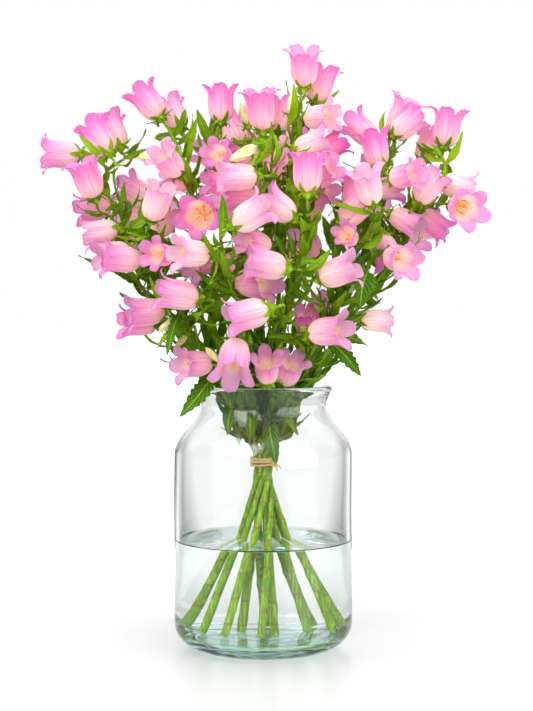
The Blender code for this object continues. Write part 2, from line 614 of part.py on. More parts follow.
def stem_strand(stem, low_points, low_radii):
    """Lead a stem up its length in the jar and on to its top."""
    above = [low_points[-1]] + [from_view(*guide) for guide in stem.guides[1:]]
    points = list(low_points) + list(smooth_curve(above, 2)[1:])
    extra = len(points) - len(low_points)
    radii = list(low_radii) + list(np.linspace(STEM_TIE_RADIUS, STEM_TOP_RADIUS, extra + 1)[1:])
    return Strand(stem.name, points, radii)


def stalk_strand(stem_name, grown, flower):
    """Lead a stalk to a flower from the twig below it that is nearest, in a soft curve."""
    end = flower.stalk_end
    best = None
    for strand in grown:
        first = len(BUNDLE_LEVELS) if strand.parent is None else 1
        last = len(strand.points) if strand.parent is None else len(strand.points) - 2
        for k in range(first, last):
            point = strand.points[k]
            way = end - point
            run = unit(strand.points[min(k + 1, len(strand.points) - 1)] - strand.points[k - 1])
            lacking = max(0.0, STALK_RISE - way[2])
            sharp = 1 - float(run @ unit(way))
            turn_in = 1 - float(unit(way) @ flower.axis)
            cost = np.linalg.norm(way) * (1 + 0.25 * sharp + 0.15 * turn_in) + 1.2 * lacking
            if np.linalg.norm(way) > STALK_LEAST and (best is None or cost < best[0]):
                best = (cost, strand, k, run)
    _, parent, root, run = best
    start = parent.points[root]
    size = np.linalg.norm(end - start)
    handles = [start, start + (run * 0.6 + unit(end - start)) * size * 0.22,
               end - flower.axis * min(size * 0.4, STALK_CURVE), end]
    count = 4 if size > STALK_LONG else 3
    points = [bezier(handles, k / count) for k in range(count)] + [end]
    radii = [STALK_RADIUS * 1.15] + [STALK_RADIUS] * count
    return Strand(stem_name, points, radii, parent, root, flower)


def bezier(handles, t):
    """Give the point at t on a cubic curve with four handles."""
    a, b, c, d = handles
    return a * (1 - t) ** 3 + 3 * b * t * (1 - t) ** 2 + 3 * c * t ** 2 * (1 - t) + d * t ** 3


def grow():
    """Plan all stems, flowers and stalks, and settle them clear of each other."""
    flowers = [Flower(k, bloom) for k, bloom in enumerate(BLOOMS)]
    pairs = []
    for flower in flowers:
        mates = [f for f in flowers[:flower.number] if f.node == flower.node and f.kind == "bell"]
        if mates and flower.kind == "bell":
            flower.mate = min(mates, key=lambda f: np.linalg.norm(f.mouth - flower.mouth))
            flower.mate.mate = flower.mate.mate or flower
            pairs.append((flower, flower.mate))
    for _ in range(SETTLE_ROUNDS // 2):
        push_flowers(flowers, pairs)
    strands = []
    bundle, low_radii = lay_bundle()
    for stem, low_points in zip(STEMS, bundle):
        grown = [stem_strand(stem, low_points, low_radii)]
        above = grown[0].points[len(BUNDLE_LEVELS):]
        own = [f for f in flowers if f.bloom.stem == stem.name]
        own.sort(key=lambda f: np.linalg.norm(above - f.stalk_end, axis=1).min())
        for flower in own:
            grown.append(stalk_strand(stem.name, grown, flower))
        strands += grown
    for _ in range(SETTLE_ROUNDS):
        push_flowers(flowers, pairs)
        push_strands(strands, flowers)
    follow(strands)
    return flowers, strands


class Blade:
    """One leaf: points along its midrib, its width there and the direction across it."""

    def __init__(self, stem, root, direction, up, length, width, droop, waved=False):
        self.stem = stem
        self.across = unit(np.cross(direction, up))
        self.normal = np.cross(self.across, direction)
        count = 7 if waved else 3
        self.rib = []
        self.half = []
        for k in range(count + 1):
            t = k / count
            lift = length * (LEAF_ARCH * math.sin(math.pi * t) - droop * t * t)
            self.rib.append(root + direction * length * t + self.normal * lift)
            half = width * 0.5 * math.sin(math.pi * min(1, 0.06 + 0.94 * t ** 0.85)) ** 0.8
            wave = (EDGE_WAVE if k % 2 else -EDGE_WAVE) if waved else 0
            self.half.append(half * (1 + wave))
        self.rib[0] = root - direction * ROOT_SINK

    def cloud(self):
        """Give points over the blade for tests of clear space."""
        rows = []
        for rib, half in zip(self.rib, self.half):
            rows += [rib, rib + self.across * half, rib - self.across * half]
        rib = np.array(self.rib)
        middle = (rib[1:] + rib[:-1]) / 2
        half = (np.array(self.half)[1:] + np.array(self.half)[:-1]) / 2
        for centre, width in zip(middle, half):
            rows += [centre, centre + self.across * width, centre - self.across * width]
        return np.array(rows)


def jar_inside(height):
    """Give the jar's inner radius at a height."""
    share = min(1.0, max(0.0, (height - SHOULDER_LOW) / (SHOULDER_HIGH - SHOULDER_LOW)))
    neck = NECK_RADIUS - GLASS
    return neck + (JAR_RADIUS - NECK_RADIUS) * (0.5 + 0.5 * math.cos(math.pi * share))


class ClearSpace:
    """Tells whether a leaf would touch a flower, another stem's wood or leaf, or the jar."""

    def __init__(self, flowers, strands):
        self.flowers = flowers
        self.feet = np.array([f.foot for f in flowers])
        self.axes = np.array([f.axis for f in flowers])
        self.wood = []
        for strand in strands:
            points, radii, _ = strand.dense(8)
            self.wood += [(point, radius, strand.stem) for point, radius in zip(points, radii)]
        self.tree = kdtree.KDTree(len(self.wood))
        for k, (point, _, _) in enumerate(self.wood):
            self.tree.insert(point, k)
        self.tree.balance()
        self.leaves = []

    def free(self, blade, root_room=8.0):
        """Say whether a blade lies clear of all that it doesn't grow from."""
        cloud = blade.cloud()
        return (self.clear_of_flowers(cloud)
                and all(self.clear_of_glass(point) for point in cloud)
                and all(self.clear_of_wood(point, blade.stem) for point in cloud
                        if math.dist(point, blade.rib[0]) > root_room)
                and self.clear_of_leaves(cloud))

    def clear_of_flowers(self, cloud):
        """Say whether points lie clear of every flower."""
        offset = cloud[None] - self.feet[:, None]
        along = np.einsum("bpx,bx->bp", offset, self.axes)
        radius = np.linalg.norm(offset - along[..., None] * self.axes[:, None], axis=-1)
        return not (reach_at(self.flowers, along, False) + LEAF_ROOM - radius > 0).any()

    @staticmethod
    def clear_of_glass(point):
        """Say whether a point lies clear of the jar's wall."""
        off = abs(math.hypot(point[0], point[1]) - jar_inside(point[2]) - GLASS / 2)
        return point[2] >= LIP_HEIGHT + 6 or off >= GLASS + LEAF_GLASS_ROOM

    def clear_of_wood(self, point, stem):
        """Say whether a point lies clear of the wood of other stems."""
        for _, n, distance in self.tree.find_range(point, 6.0):
            _, radius, other = self.wood[n]
            if other != stem and distance < radius + LEAF_WOOD_ROOM:
                return False
        return True

    def clear_of_leaves(self, cloud):
        """Say whether points keep the leaves' spacing."""
        for other in self.leaves:
            if np.linalg.norm(other[0] - cloud[0]) < LEAF_NEIGHBOURS:
                if np.linalg.norm(other[:, None] - cloud[None], axis=-1).min() < LEAF_SPACING:
                    return False
        return True

    def take(self, blade):
        """Keep a blade's space for it."""
        self.leaves.append(blade.cloud())


def grow_leaves(flowers, strands):
    """Set leaves on stems and stalks wherever there is room, each stem's the same way each run."""
    space = ClearSpace(flowers, strands)
    blades = []
    for leaf in LARGE_LEAVES:
        blade = large_leaf(leaf, strands, space)
        if blade:
            space.take(blade)
            blades.append(blade)
    for number, stem in enumerate(STEMS):
        draw = random.Random(100 + number)
        for seat in leaf_seats([s for s in strands if s.stem == stem.name]):
            blade = small_leaf(stem.name, seat, draw, space)
            if blade:
                space.take(blade)
                blades.append(blade)
    return blades


def leaf_seats(own):
    """Give the places on a stem and its stalks where a leaf may grow: point, run and scale."""
    seats = []
    for strand in own[1:]:
        run = unit(strand.points[1] - strand.points[0])
        seats.append((strand.parent.points[strand.root], run, 0.8))
        run = unit(strand.points[-1] - strand.points[0])
        seats.append((strand.points[len(strand.points) // 2], run, 0.6))
    main = own[0].points
    for k in range(len(BUNDLE_LEVELS) - 2, len(main)):
        run = unit(main[k] - main[k - 1])
        seats += [(main[k], run, 1.0), (main[k] * 0.5 + main[k - 1] * 0.5, run, 1.0)]
    return seats


def small_leaf(stem_name, seat, draw, space):
    """Make a leaf at the first of a few chance turns that is clear, or none."""
    place, run, scale = seat
    for _ in range(LEAF_TRIES):
        side, other = frame_of(run, draw.uniform(0, 2 * math.pi))
        lean = math.radians(draw.uniform(*LEAF_LEANS))
        direction = unit(run * math.cos(lean) + side * math.sin(lean))
        length = draw.uniform(*LEAF_LENGTHS) * scale
        blade = Blade(stem_name, place, direction, np.cross(other, direction), length,
                      length * draw.uniform(*LEAF_WIDTHS), draw.uniform(*LEAF_DROOPS))
        if space.free(blade):
            return blade
    return None


def large_leaf(leaf, strands, space):
    """Make a large leaf at its own place, moved in depth until it is clear."""
    wood = np.vstack([s.dense(8)[0] for s in strands if s.stem == leaf.stem])
    up = unit(np.array([0, -1.0, 0.5]))
    for shift in LARGE_LEAF_SHIFTS:
        root = from_view(*leaf.root[:2], leaf.root[2] + shift)
        tip = from_view(*leaf.tip[:2], leaf.tip[2] + shift * 1.3)
        seat = wood[np.linalg.norm(wood - root, axis=1).argmin()]
        length = np.linalg.norm(tip - seat)
        blade = Blade(leaf.stem, seat, unit(tip - seat), up, length, leaf.width, 0.0, waved=True)
        if space.free(blade, 14.0):
            return blade
    return None


# Meshes

def material(name, colour, roughness, alpha=1.0):
    """Make a plain finish."""
    finish = bpy.data.materials.new(name)
    finish.use_nodes = True
    shader = finish.node_tree.nodes["Principled BSDF"]
    shader.inputs["Base Color"].default_value = (*colour, 1.0)
    shader.inputs["Roughness"].default_value = roughness
    shader.inputs["Metallic"].default_value = 0.0
    shader.inputs["Alpha"].default_value = alpha
    return finish


def new_object(name, points, faces):
    """Make an object of triangles and quads from points in millimetres."""
    mesh = bpy.data.meshes.new(name)
    mesh.from_pydata([tuple(float(c) * METRES for c in p) for p in points], [], faces)
    edit = bmesh.new()
    edit.from_mesh(mesh)
    bmesh.ops.recalc_face_normals(edit, faces=edit.faces)
    if edit.calc_volume(signed=True) < 0:
        bmesh.ops.reverse_faces(edit, faces=edit.faces)
    edit.to_mesh(mesh)
    edit.free()
    mesh.update()
    thing = bpy.data.objects.new(name, mesh)
    bpy.context.scene.collection.objects.link(thing)
    return thing


def ring_faces(rings, count, closed=False):
    """Give the faces between rings of points that follow each other, the last and first too if closed."""
    faces = []
    pairs = list(zip(range(rings), range(1, rings)))
    if closed:
        pairs.append((rings - 1, 0))
    for low, high in pairs:
        for k in range(count):
            n = (k + 1) % count
            faces.append((low * count + k, low * count + n, high * count + n, high * count + k))
    return faces


def rings_object(name, rings, first_pole=None, last_pole=None, closed=False):
    """Skin rings of equal count into one closed shape, with a pole or a flat cap at each end."""
    count = len(rings[0])
    points = [p for ring in rings for p in ring]
    faces = ring_faces(len(rings), count, closed)
    if not closed:
        for pole, ring in ((first_pole, 0), (last_pole, len(rings) - 1)):
            loop = [ring * count + k for k in range(count)]
            if pole is None:
                faces.append(tuple(loop))
            else:
                points.append(pole)
                faces += [(loop[k], loop[(k + 1) % count], len(points) - 1) for k in range(count)]
    return new_object(name, points, faces)


def turned(name, outline, sides, turn=0.0):
    """Turn an outline of (radius, height) about Z; its ends lie on the axis."""
    rings = []
    for radius, height in outline[1:-1]:
        rings.append([(radius * math.cos(turn + 2 * math.pi * k / sides),
                       radius * math.sin(turn + 2 * math.pi * k / sides), height) for k in range(sides)])
    return rings_object(name, rings, (0, 0, outline[0][1]), (0, 0, outline[-1][1]))


def arc(centre, radius, start, end, steps):
    """Give points on an arc in the (radius, height) plane, by angles in degrees."""
    angles = [math.radians(start + (end - start) * k / steps) for k in range(steps + 1)]
    return [(centre[0] + radius * math.cos(a), centre[1] + radius * math.sin(a)) for a in angles]


def shoulder(body, neck, low, high, steps):
    """Give the soft slope from the body's radius in to the neck's."""
    rows = []
    for k in range(steps + 1):
        share = k / steps
        radius = neck + (body - neck) * (0.5 + 0.5 * math.cos(math.pi * share))
        rows.append((radius, low + (high - low) * share))
    return rows


def jar_outline():
    """Give the jar's outline from the middle of its underside, up the outside and down the inside."""
    corner = JAR_RADIUS - FOOT_RADIUS
    inner = JAR_RADIUS - GLASS
    rows = [(0, 0)] + arc((FOOT_RADIUS, corner), corner, -90, 0, 4)
    rows += shoulder(JAR_RADIUS, NECK_RADIUS, SHOULDER_LOW, SHOULDER_HIGH, 5)
    rows += arc((LIP_RADIUS, LIP_HEIGHT), LIP_ROUND, -45, 180, 4)
    rows += shoulder(inner, NECK_RADIUS - GLASS, SHOULDER_LOW, SHOULDER_HIGH, 5)[::-1]
    rows += arc((inner - INNER_CORNER, FLOOR + INNER_CORNER), INNER_CORNER, 0, -90, 3)
    return rows + [(0, FLOOR)]


def water_outline():
    """Give the water's outline, a gap in from the glass."""
    inner = JAR_RADIUS - GLASS
    corner = (inner - INNER_CORNER, FLOOR + INNER_CORNER)
    rows = [(0, FLOOR + GAP)] + arc(corner, INNER_CORNER - GAP, -90, 0, 3)
    return rows + [(inner - GAP, WATER_LEVEL), (0, WATER_LEVEL)]


def tube_rings(points, radii, sides, extra=0.0, last_run=None):
    """Give rings round points, square to the way that they run, the last one to last_run if given."""
    points = np.asarray(points, float)
    side, _ = frame_of(unit(points[1] - points[0]))
    rings = []
    for k, point in enumerate(points):
        run = unit(points[min(k + 1, len(points) - 1)] - points[max(k - 1, 0)])
        if last_run is not None and k == len(points) - 1:
            run = last_run
        side = unit(side - run * (side @ run))
        other = np.cross(run, side)
        turns = [2 * math.pi * n / sides for n in range(sides)]
        rings.append([point + (side * math.cos(turn) + other * math.sin(turn)) * (radii[k] + extra)
                      for turn in turns])
    return rings


def tube(name, points, radii, sides, extra=0.0):
    """Make a closed tube along points, with flat ends."""
    return rings_object(name, tube_rings(points, radii, sides, extra))


def placed(local, foot, axis, size, turn):
    """Place points of a shape that stands along +Z at a flower's place."""
    side, other = frame_of(axis, turn)
    return [foot + (side * x + other * y + axis * z) * size for x, y, z in local]


def star_ring(inner, outer, sides):
    """Give a ring whose points lie by turns at (height, radius) outer and inner."""
    rows = []
    for k in range(sides * 2):
        height, radius = outer if k % 2 == 0 else inner
        turn = math.pi * k / sides
        rows.append((radius * math.cos(turn), radius * math.sin(turn), height))
    return rows


def plain_ring(height, radius, sides):
    """Give a ring whose corners lie under the lobes."""
    return star_ring((height, radius), (height, radius), sides)[::2]


def fan(points, faces, ring, pole):
    """Close a ring with triangles to a pole."""
    points.append(pole)
    for k, corner in enumerate(ring):
        faces.append((corner, ring[(k + 1) % len(ring)], len(points) - 1))


def bell_object(name, flower):
    """Make a hollow bell: tube, five flared lobes with pointed tips, and the hollow inside."""
    local = []
    faces = []

    def add(ring):
        local.extend(ring)
        return list(range(len(local) - len(ring), len(local)))

    low = add(plain_ring(*BELL_SHOULDER, PETALS))
    belly = add(plain_ring(*BELL_BELLY, PETALS))
    rim = add(star_ring(BELL_NOTCH, LOBE_TIP, PETALS))
    for k in range(PETALS):
        n = (k + 1) % PETALS
        faces.append((low[k], low[n], belly[n], belly[k]))
        faces.append((belly[k], rim[2 * k], rim[2 * k + 1]))
        faces.append((belly[k], rim[2 * k + 1], belly[n]))
        faces.append((belly[n], rim[2 * k + 1], rim[2 * n]))
    fan(local, faces, low, (0, 0, 0))
    fan(local, faces, rim, (0, 0, BELL_HOLLOW))
    return new_object(name, placed(local, flower.foot, flower.axis, flower.size, flower.turn), faces)


def bud_object(name, flower):
    """Make a closed bud, or a faded bell folded shut: a slim body to a point."""
    rings = [placed(plain_ring(height, radius, PETALS), flower.foot, flower.axis, flower.size, 0.3)
             for height, radius in BUD_RINGS]
    poles = placed([(0, 0, -1.0), (0, 0, BUD_LENGTH)], flower.foot, flower.axis, flower.size, 0.3)
    return rings_object(name, rings, *poles)


def stalk_object(name, strand):
    """Make a stalk that ends in its flower's calyx of five pointed sepals."""
    flower = strand.bloom
    sunk = strand.points[0] - unit(strand.points[1] - strand.points[0]) * ROOT_SINK
    rings = tube_rings([sunk, *strand.points[1:-1]], strand.radii, STALK_SIDES, last_run=flower.axis)
    points = [p for ring in rings for p in ring]
    faces = [tuple(range(STALK_SIDES))] + ring_faces(len(rings), STALK_SIDES)
    star = placed(star_ring(SEPAL_NOTCH, SEPAL_TIP, 5), flower.foot, flower.axis, flower.size,
                  flower.turn + math.pi / 5)
    low = list(range(len(points) - STALK_SIDES, len(points)))
    high = list(range(len(points), len(points) + len(star)))
    points += star
    faces += zip_rings(points, low, high, flower.axis)
    fan(points, faces, high, flower.foot - flower.axis * GAP)
    return new_object(name, points, faces)


def zip_rings(points, few, many, axis):
    """Join a ring of few corners to a ring of many with triangles, by their angles round an axis."""
    side, other = frame_of(axis)

    def ordered(ring):
        centre = sum(points[k] for k in ring) / len(ring)
        turns = {k: math.atan2((points[k] - centre) @ other, (points[k] - centre) @ side) for k in ring}
        return sorted(ring, key=turns.get), turns

    few, few_turns = ordered(few)
    many, many_turns = ordered(many)
    first = many_turns[many[0]]
    off = [abs(math.remainder(few_turns[corner] - first, 2 * math.pi)) for corner in few]
    start = off.index(min(off))
    few = few[start:] + few[:start]
    faces = []
    a = b = 0
    while a < len(few) or b < len(many):
        next_few = (a + 1) * len(many) / len(few)
        if b < len(many) and (b + 0.5 < next_few - 0.5 or a >= len(few)):
            faces.append((few[a % len(few)], many[b % len(many)], many[(b + 1) % len(many)]))
            b += 1
        else:
            faces.append((few[a % len(few)], many[b % len(many)], few[(a + 1) % len(few)]))
            a += 1
    return faces


def blade_object(name, blade):
    """Make a leaf, thickest along its midrib, with waved edges on a large one."""
    rings = []
    last = len(blade.rib) - 1
    for k in range(1, last):
        rib, half = blade.rib[k], blade.half[k]
        rings.append([rib + blade.across * half, rib - blade.across * half,
                      rib - blade.normal * LEAF_THICKNESS])
    return rings_object(name, rings, blade.rib[0], blade.rib[last])


def fuse(name, pieces, finish):
    """Join pieces that run into each other into one body by one Boolean union."""
    whole = pieces[0]
    whole.name = name
    whole.data.name = name
    if len(pieces) > 1:
        group = bpy.data.collections.new(name + "_pieces")
        bpy.context.scene.collection.children.link(group)
        for piece in pieces[1:]:
            bpy.context.scene.collection.objects.unlink(piece)
            group.objects.link(piece)
        join = whole.modifiers.new("join", "BOOLEAN")
        join.operation = "UNION"
        join.operand_type = "COLLECTION"
        join.solver = "MANIFOLD"
        join.collection = group
        apply_modifiers(whole)
        for piece in list(group.objects):
            bpy.data.objects.remove(piece)
        bpy.data.collections.remove(group)
        drop_scraps(whole)
    whole.data.materials.clear()
    whole.data.materials.append(finish)
    return whole


def apply_modifiers(thing):
    """Bake an object's modifiers into its mesh."""
    graph = bpy.context.evaluated_depsgraph_get()
    baked = bpy.data.meshes.new_from_object(thing.evaluated_get(graph))
    old = thing.data
    thing.modifiers.clear()
    thing.data = baked
    baked.name = thing.name
    bpy.data.meshes.remove(old)


def drop_scraps(thing):
    """Take out the crumbs that a union leaves, and fill the hollows that it seals."""
    edit = bmesh.new()
    edit.from_mesh(thing.data)
    bmesh.ops.remove_doubles(edit, verts=edit.verts, dist=PINCH * METRES)
    left = set(edit.faces)
    while left:
        body = set()
        edge = [left.pop()]
        while edge:
            face = edge.pop()
            body.add(face)
            edge += [other for line in face.edges if len(line.link_faces) == 2
                     for other in line.link_faces if other not in body]
        left -= body
        if volume(body) < SCRAP * METRES ** 3:
            bmesh.ops.delete(edit, geom=list(body), context="FACES")
    edit.to_mesh(thing.data)
    edit.free()


def volume(faces):
    """Give the volume inside a closed set of faces, below nought where they face inwards."""
    whole = 0.0
    for face in faces:
        first, *rest = [corner.co for corner in face.verts]
        whole += sum(first.dot(a.cross(b)) for a, b in zip(rest, rest[1:])) / 6
    return whole


def shade(thing, angle=30):
    """Shade a round piece smooth, with its sharp edges kept."""
    thing.data.shade_smooth()
    thing.data.set_sharp_from_angle(angle=math.radians(angle))


def make_jar():
    """Make the jar."""
    jar = turned("vase", jar_outline(), JAR_SIDES)
    jar.data.materials.append(material("clear_glass", (0.82, 0.93, 0.9), 0.02, 0.3))
    shade(jar)


def make_water(stems):
    """Make the water, with a plain hole for each stem."""
    water = turned("water", water_outline(), JAR_SIDES)
    holes = bpy.data.collections.new("stem_holes")
    bpy.context.scene.collection.children.link(holes)
    for stem in stems:
        run = unit(stem.points[1] - stem.points[0])
        points = [stem.points[0] - run * HOLE_START, *stem.points[:5]]
        radii = [stem.radii[0], *stem.radii[:5]]
        hole = tube("hole", points, radii, STEM_SIDES, GAP * 1.3)
        bpy.context.scene.collection.objects.unlink(hole)
        holes.objects.link(hole)
    cut = water.modifiers.new("cut", "BOOLEAN")
    cut.operation = "DIFFERENCE"
    cut.operand_type = "COLLECTION"
    cut.solver = "MANIFOLD"
    cut.collection = holes
    apply_modifiers(water)
    for hole in list(holes.objects):
        bpy.data.objects.remove(hole)
    bpy.data.collections.remove(holes)
    water.data.materials.append(material("clear_water", (0.86, 0.95, 0.93), 0.02, 0.3))


def make_twine():
    """Make the twine: three turns side by side, and a knot with two short ends."""
    pitch = TWINE_RADIUS * 1.9
    low = TIE_HEIGHT - pitch * TWINE_TURNS / 2
    outline = [(TWINE_INSIDE, low), (TWINE_INSIDE, low + pitch * TWINE_TURNS)]
    for turn in reversed(range(TWINE_TURNS)):
        middle = low + pitch * (turn + 0.5)
        outline += arc((TWINE_INSIDE + TWINE_RADIUS, middle), TWINE_RADIUS, 60, -60, 2)
    turns = [2 * math.pi * k / TWINE_SIDES for k in range(TWINE_SIDES)]
    rings = [[(radius * math.cos(turn), radius * math.sin(turn), height) for turn in turns]
             for radius, height in outline]
    pieces = [rings_object("twine", rings, closed=True)]
    knot = np.array([*KNOT, TIE_HEIGHT - 1.0])
    out = unit(knot * (1, 1, 0))
    pieces.append(tube("knot", [knot - out * 1.0, knot + out * 2.5], [2.6, 2.0], 6))
    for reach, drop in TWINE_ENDS:
        end = knot + out * 2.5 + np.array([reach, 0.5, drop])
        middle = (knot + out * 2.5 + end) / 2 + out
        pieces.append(tube("end", [knot + out * 0.8, middle, end], [1.0, 0.9, 0.8], 4))
    fuse("twine", pieces, material("jute_twine", (0.6, 0.42, 0.22), 0.85))


def crosses(one, other):
    """Say whether the surfaces of two objects run through each other."""
    trees = []
    for thing in (one, other):
        corners = [corner.co for corner in thing.data.vertices]
        trees.append(BVHTree.FromPolygons(corners, [face.vertices for face in thing.data.polygons]))
    return bool(trees[0].overlap(trees[1]))


def held_bells(bells, green):
    """Give the largest set of bells that hold together clear of the stem's pieces."""
    sets = []
    for bell in bells:
        touching = [group for group in sets if any(crosses(bell, other) for other in group)]
        sets = [group for group in sets if group not in touching]
        sets.append([bell] + [other for group in touching for other in group])
    clear = [group for group in sets
             if not any(crosses(bell, piece) for bell in group for piece in green)]
    return max(clear, key=len, default=[])


def sink(bell, flower):
    """Push a bell down into its calyx, so that the two are one piece."""
    bell.data.transform(Matrix.Translation(Vector(flower.axis * -BELL_SINK * METRES)))
    return bell


def green_pieces(own, blades):
    """Make a stem's own pieces: wood, calyxes, buds, and the leaves that hold to them."""
    pieces = [tube("stem", own[0].points, own[0].radii, STEM_SIDES)]
    for strand in own[1:]:
        pieces.append(stalk_object("stalk", strand))
        if strand.bloom.kind == "bud":
            pieces.append(bud_object("bud", strand.bloom))
        if strand.bloom.kind == "young":
            pieces.append(sink(bell_object("young_bell", strand.bloom), strand.bloom))
    for blade in blades:
        leaf = blade_object("leaf", blade)
        if any(crosses(leaf, piece) for piece in pieces):
            pieces.append(leaf)
        else:
            bpy.data.objects.remove(leaf)
    return pieces


def make_stem(stem, flowers, own, blades):
    """Make a stem's bells, and the stem with all that grows from it and holds to no node of bells."""
    green = green_pieces(own, blades)
    flower_of = {bell_object("bell", flower): flower for flower in flowers if flower.kind == "bell"}
    groups = {}
    for bell, flower in flower_of.items():
        groups.setdefault(flower.bloom.group, []).append(bell)
    changed = True
    while changed:
        changed = False
        for letter, bells in groups.items():
            groups[letter] = held_bells(bells, green)
            apart = [bell for bell in bells if bell not in groups[letter]]
            green += [sink(bell, flower_of[bell]) for bell in apart]
            changed = changed or bool(apart)
    for letter, bells in groups.items():
        if bells:
            name = f"bells_{stem.name}_{letter}"
            fuse(name, bells, material("petals_" + name, (0.86, 0.36, 0.66), 0.6))
    fuse("stem_" + stem.name, green, material("green_" + stem.name, (0.13, 0.3, 0.03), 0.55))


def make_plants():
    """Make the leafy stems and the bells."""
    flowers, strands = grow()
    blades = grow_leaves(flowers, strands)
    for stem in STEMS:
        own = [s for s in strands if s.stem == stem.name]
        make_stem(stem, [f for f in flowers if f.bloom.stem == stem.name], own,
                  [b for b in blades if b.stem == stem.name])
    return [s for s in strands if s.parent is None]


def main():
    """Clear the scene and build every piece."""
    for thing in list(bpy.data.objects):
        bpy.data.objects.remove(thing)
    make_jar()
    make_twine()
    stems = make_plants()
    make_water(stems)


main()
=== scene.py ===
"""The looks of a bunch of pink bellflowers, tied with twine, standing in water in a glass jar.

Lengths in this file are millimetres. They become metres where a mesh gets its points.
The jar's axis is Z, it stands on Z = 0, and the front of the bunch faces -Y.
The bunch is laid out by the same plan as in the part's source, so each piece lies on its CAD node.
"""

import json
import logging
import math
import random
from collections.abc import Sequence
from dataclasses import dataclass, field
from enum import Enum

import bpy
import numpy as np
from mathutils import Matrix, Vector, kdtree

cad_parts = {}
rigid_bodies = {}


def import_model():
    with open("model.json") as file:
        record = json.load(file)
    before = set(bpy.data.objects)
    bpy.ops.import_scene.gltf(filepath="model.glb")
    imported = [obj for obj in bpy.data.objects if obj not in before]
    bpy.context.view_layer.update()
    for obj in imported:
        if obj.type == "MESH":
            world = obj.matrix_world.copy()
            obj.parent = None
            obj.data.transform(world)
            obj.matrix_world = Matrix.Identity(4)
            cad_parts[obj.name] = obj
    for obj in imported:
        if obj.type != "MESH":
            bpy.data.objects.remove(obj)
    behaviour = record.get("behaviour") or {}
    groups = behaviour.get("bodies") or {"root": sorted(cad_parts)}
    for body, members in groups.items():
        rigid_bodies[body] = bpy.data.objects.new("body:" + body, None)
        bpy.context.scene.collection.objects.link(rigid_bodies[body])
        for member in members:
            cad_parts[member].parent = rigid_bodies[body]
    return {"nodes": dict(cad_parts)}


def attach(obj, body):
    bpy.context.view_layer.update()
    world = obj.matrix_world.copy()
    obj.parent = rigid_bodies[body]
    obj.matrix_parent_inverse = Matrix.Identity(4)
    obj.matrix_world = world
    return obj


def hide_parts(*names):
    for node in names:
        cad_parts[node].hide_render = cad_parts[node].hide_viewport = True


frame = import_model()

log = logging.getLogger("bellflowers")

METRES = 0.001
FULL_TURN = 2 * math.pi
UP = np.array([0, 0, 1.0])
TOUCHING = -99  # a depth for pairs that may touch, so low that no pair is pushed apart by it

Thing = bpy.types.Object
Material = bpy.types.Material
Socket = bpy.types.NodeSocket
Points = np.ndarray
Pair = tuple[float, float]
Triple = tuple[float, float, float]
Rgba = tuple[float, float, float, float]
Stops = tuple[tuple[float, float], ...]
Tones = tuple[tuple[float, Rgba], ...]


class Kind(Enum):
    """What grows at the end of a stalk."""

    BELL = "open bell"
    BUD = "closed bud"
    YOUNG = "young bell"


@dataclass(frozen=True)
class Eye:
    """The front view: where the eye is, and the pixels of its picture."""

    distance: float = 1474.0
    height: float = 331.0
    right: float = 3.2
    focus_px: float = 1499.5
    middle_px: float = 266.5
    horizon_px: float = 308.0

    def point(self, across: float, down: float, depth: float) -> Points:
        """Turn a reading into a point, from its pixels and its depth behind the jar's axis."""
        step = (self.distance + depth) / self.focus_px
        return np.array([self.right + (across - self.middle_px) * step, depth,
                         self.height - (down - self.horizon_px) * step])


@dataclass(frozen=True)
class Stem:
    """A main stem: its cut end on the jar's floor, its place in the tie, and readings higher up."""

    name: str
    foot: Pair
    tie_place: int
    guides: tuple[Triple, ...]


@dataclass(frozen=True)
class Bloom:
    """A flower: readings of calyx and mouth, depth, turn to the front, size, and tint from 0 to 1.

    Its group is the letter of the CAD node that it is part of.
    """

    stem: str
    group: str
    foot_across: float
    foot_down: float
    mouth_across: float
    mouth_down: float
    depth: float
    toward: float
    size: float
    tint: float
    kind: Kind = Kind.BELL


@dataclass(frozen=True)
class Leaf:
    """A large leaf: the stem that it grows from, readings of root and tip, and its width."""

    stem: str
    root: Triple
    tip: Triple
    width: float


EYE = Eye()

STEMS = (
    Stem("back", (-2, -33), 0, (
        (262, 388, 45), (262, 330, 80), (260, 260, 100), (257, 200, 100), (254, 150, 80))),
    Stem("left_high", (54, -4), 1, (
        (222, 388, 20), (178, 335, 20), (143, 298, 8), (119, 258, 0), (108, 214, 8),
        (104, 176, 8))),
    Stem("left_mid", (33, 3), 2, (
        (232, 388, -20), (208, 320, -32), (188, 250, -38), (182, 200, -32), (177, 150, -8))),
    Stem("left_low", (54, 24), 3, (
        (226, 390, -36), (200, 345, -52), (174, 305, -50), (156, 275, -40))),
    Stem("front_low", (29, 53), 4, ((248, 388, -44), (243, 365, -62), (240, 340, -76))),
    Stem("front", (2, 64), 5, (
        (272, 385, -36), (285, 350, -62), (298, 300, -74), (307, 270, -76), (314, 230, -74),
        (307, 200, -78))),
    Stem("right_mid", (-50, 34), 6, (
        (290, 388, -32), (315, 340, -52), (334, 290, -60), (345, 255, -56), (350, 226, -52))),
    Stem("right_far", (-47, -7), 7, (
        (300, 388, -8), (350, 320, -14), (395, 255, -24), (420, 212, -26), (433, 175, -10),
        (438, 150, 6))),
    Stem("right_high", (-31, -24), 8, (
        (292, 388, 14), (330, 320, 22), (364, 250, 18), (384, 190, 6), (390, 150, 6),
        (394, 130, 10))),
    Stem("mid_left", (9, -16), 9, (
        (250, 388, 4), (240, 320, -10), (233, 250, -22), (226, 190, -24), (222, 145, -14))),
    Stem("top", (-16, 7), 10, (
        (268, 388, 2), (278, 320, 0), (285, 250, -5), (290, 190, -8), (292, 140, -5),
        (298, 104, 0))),
)

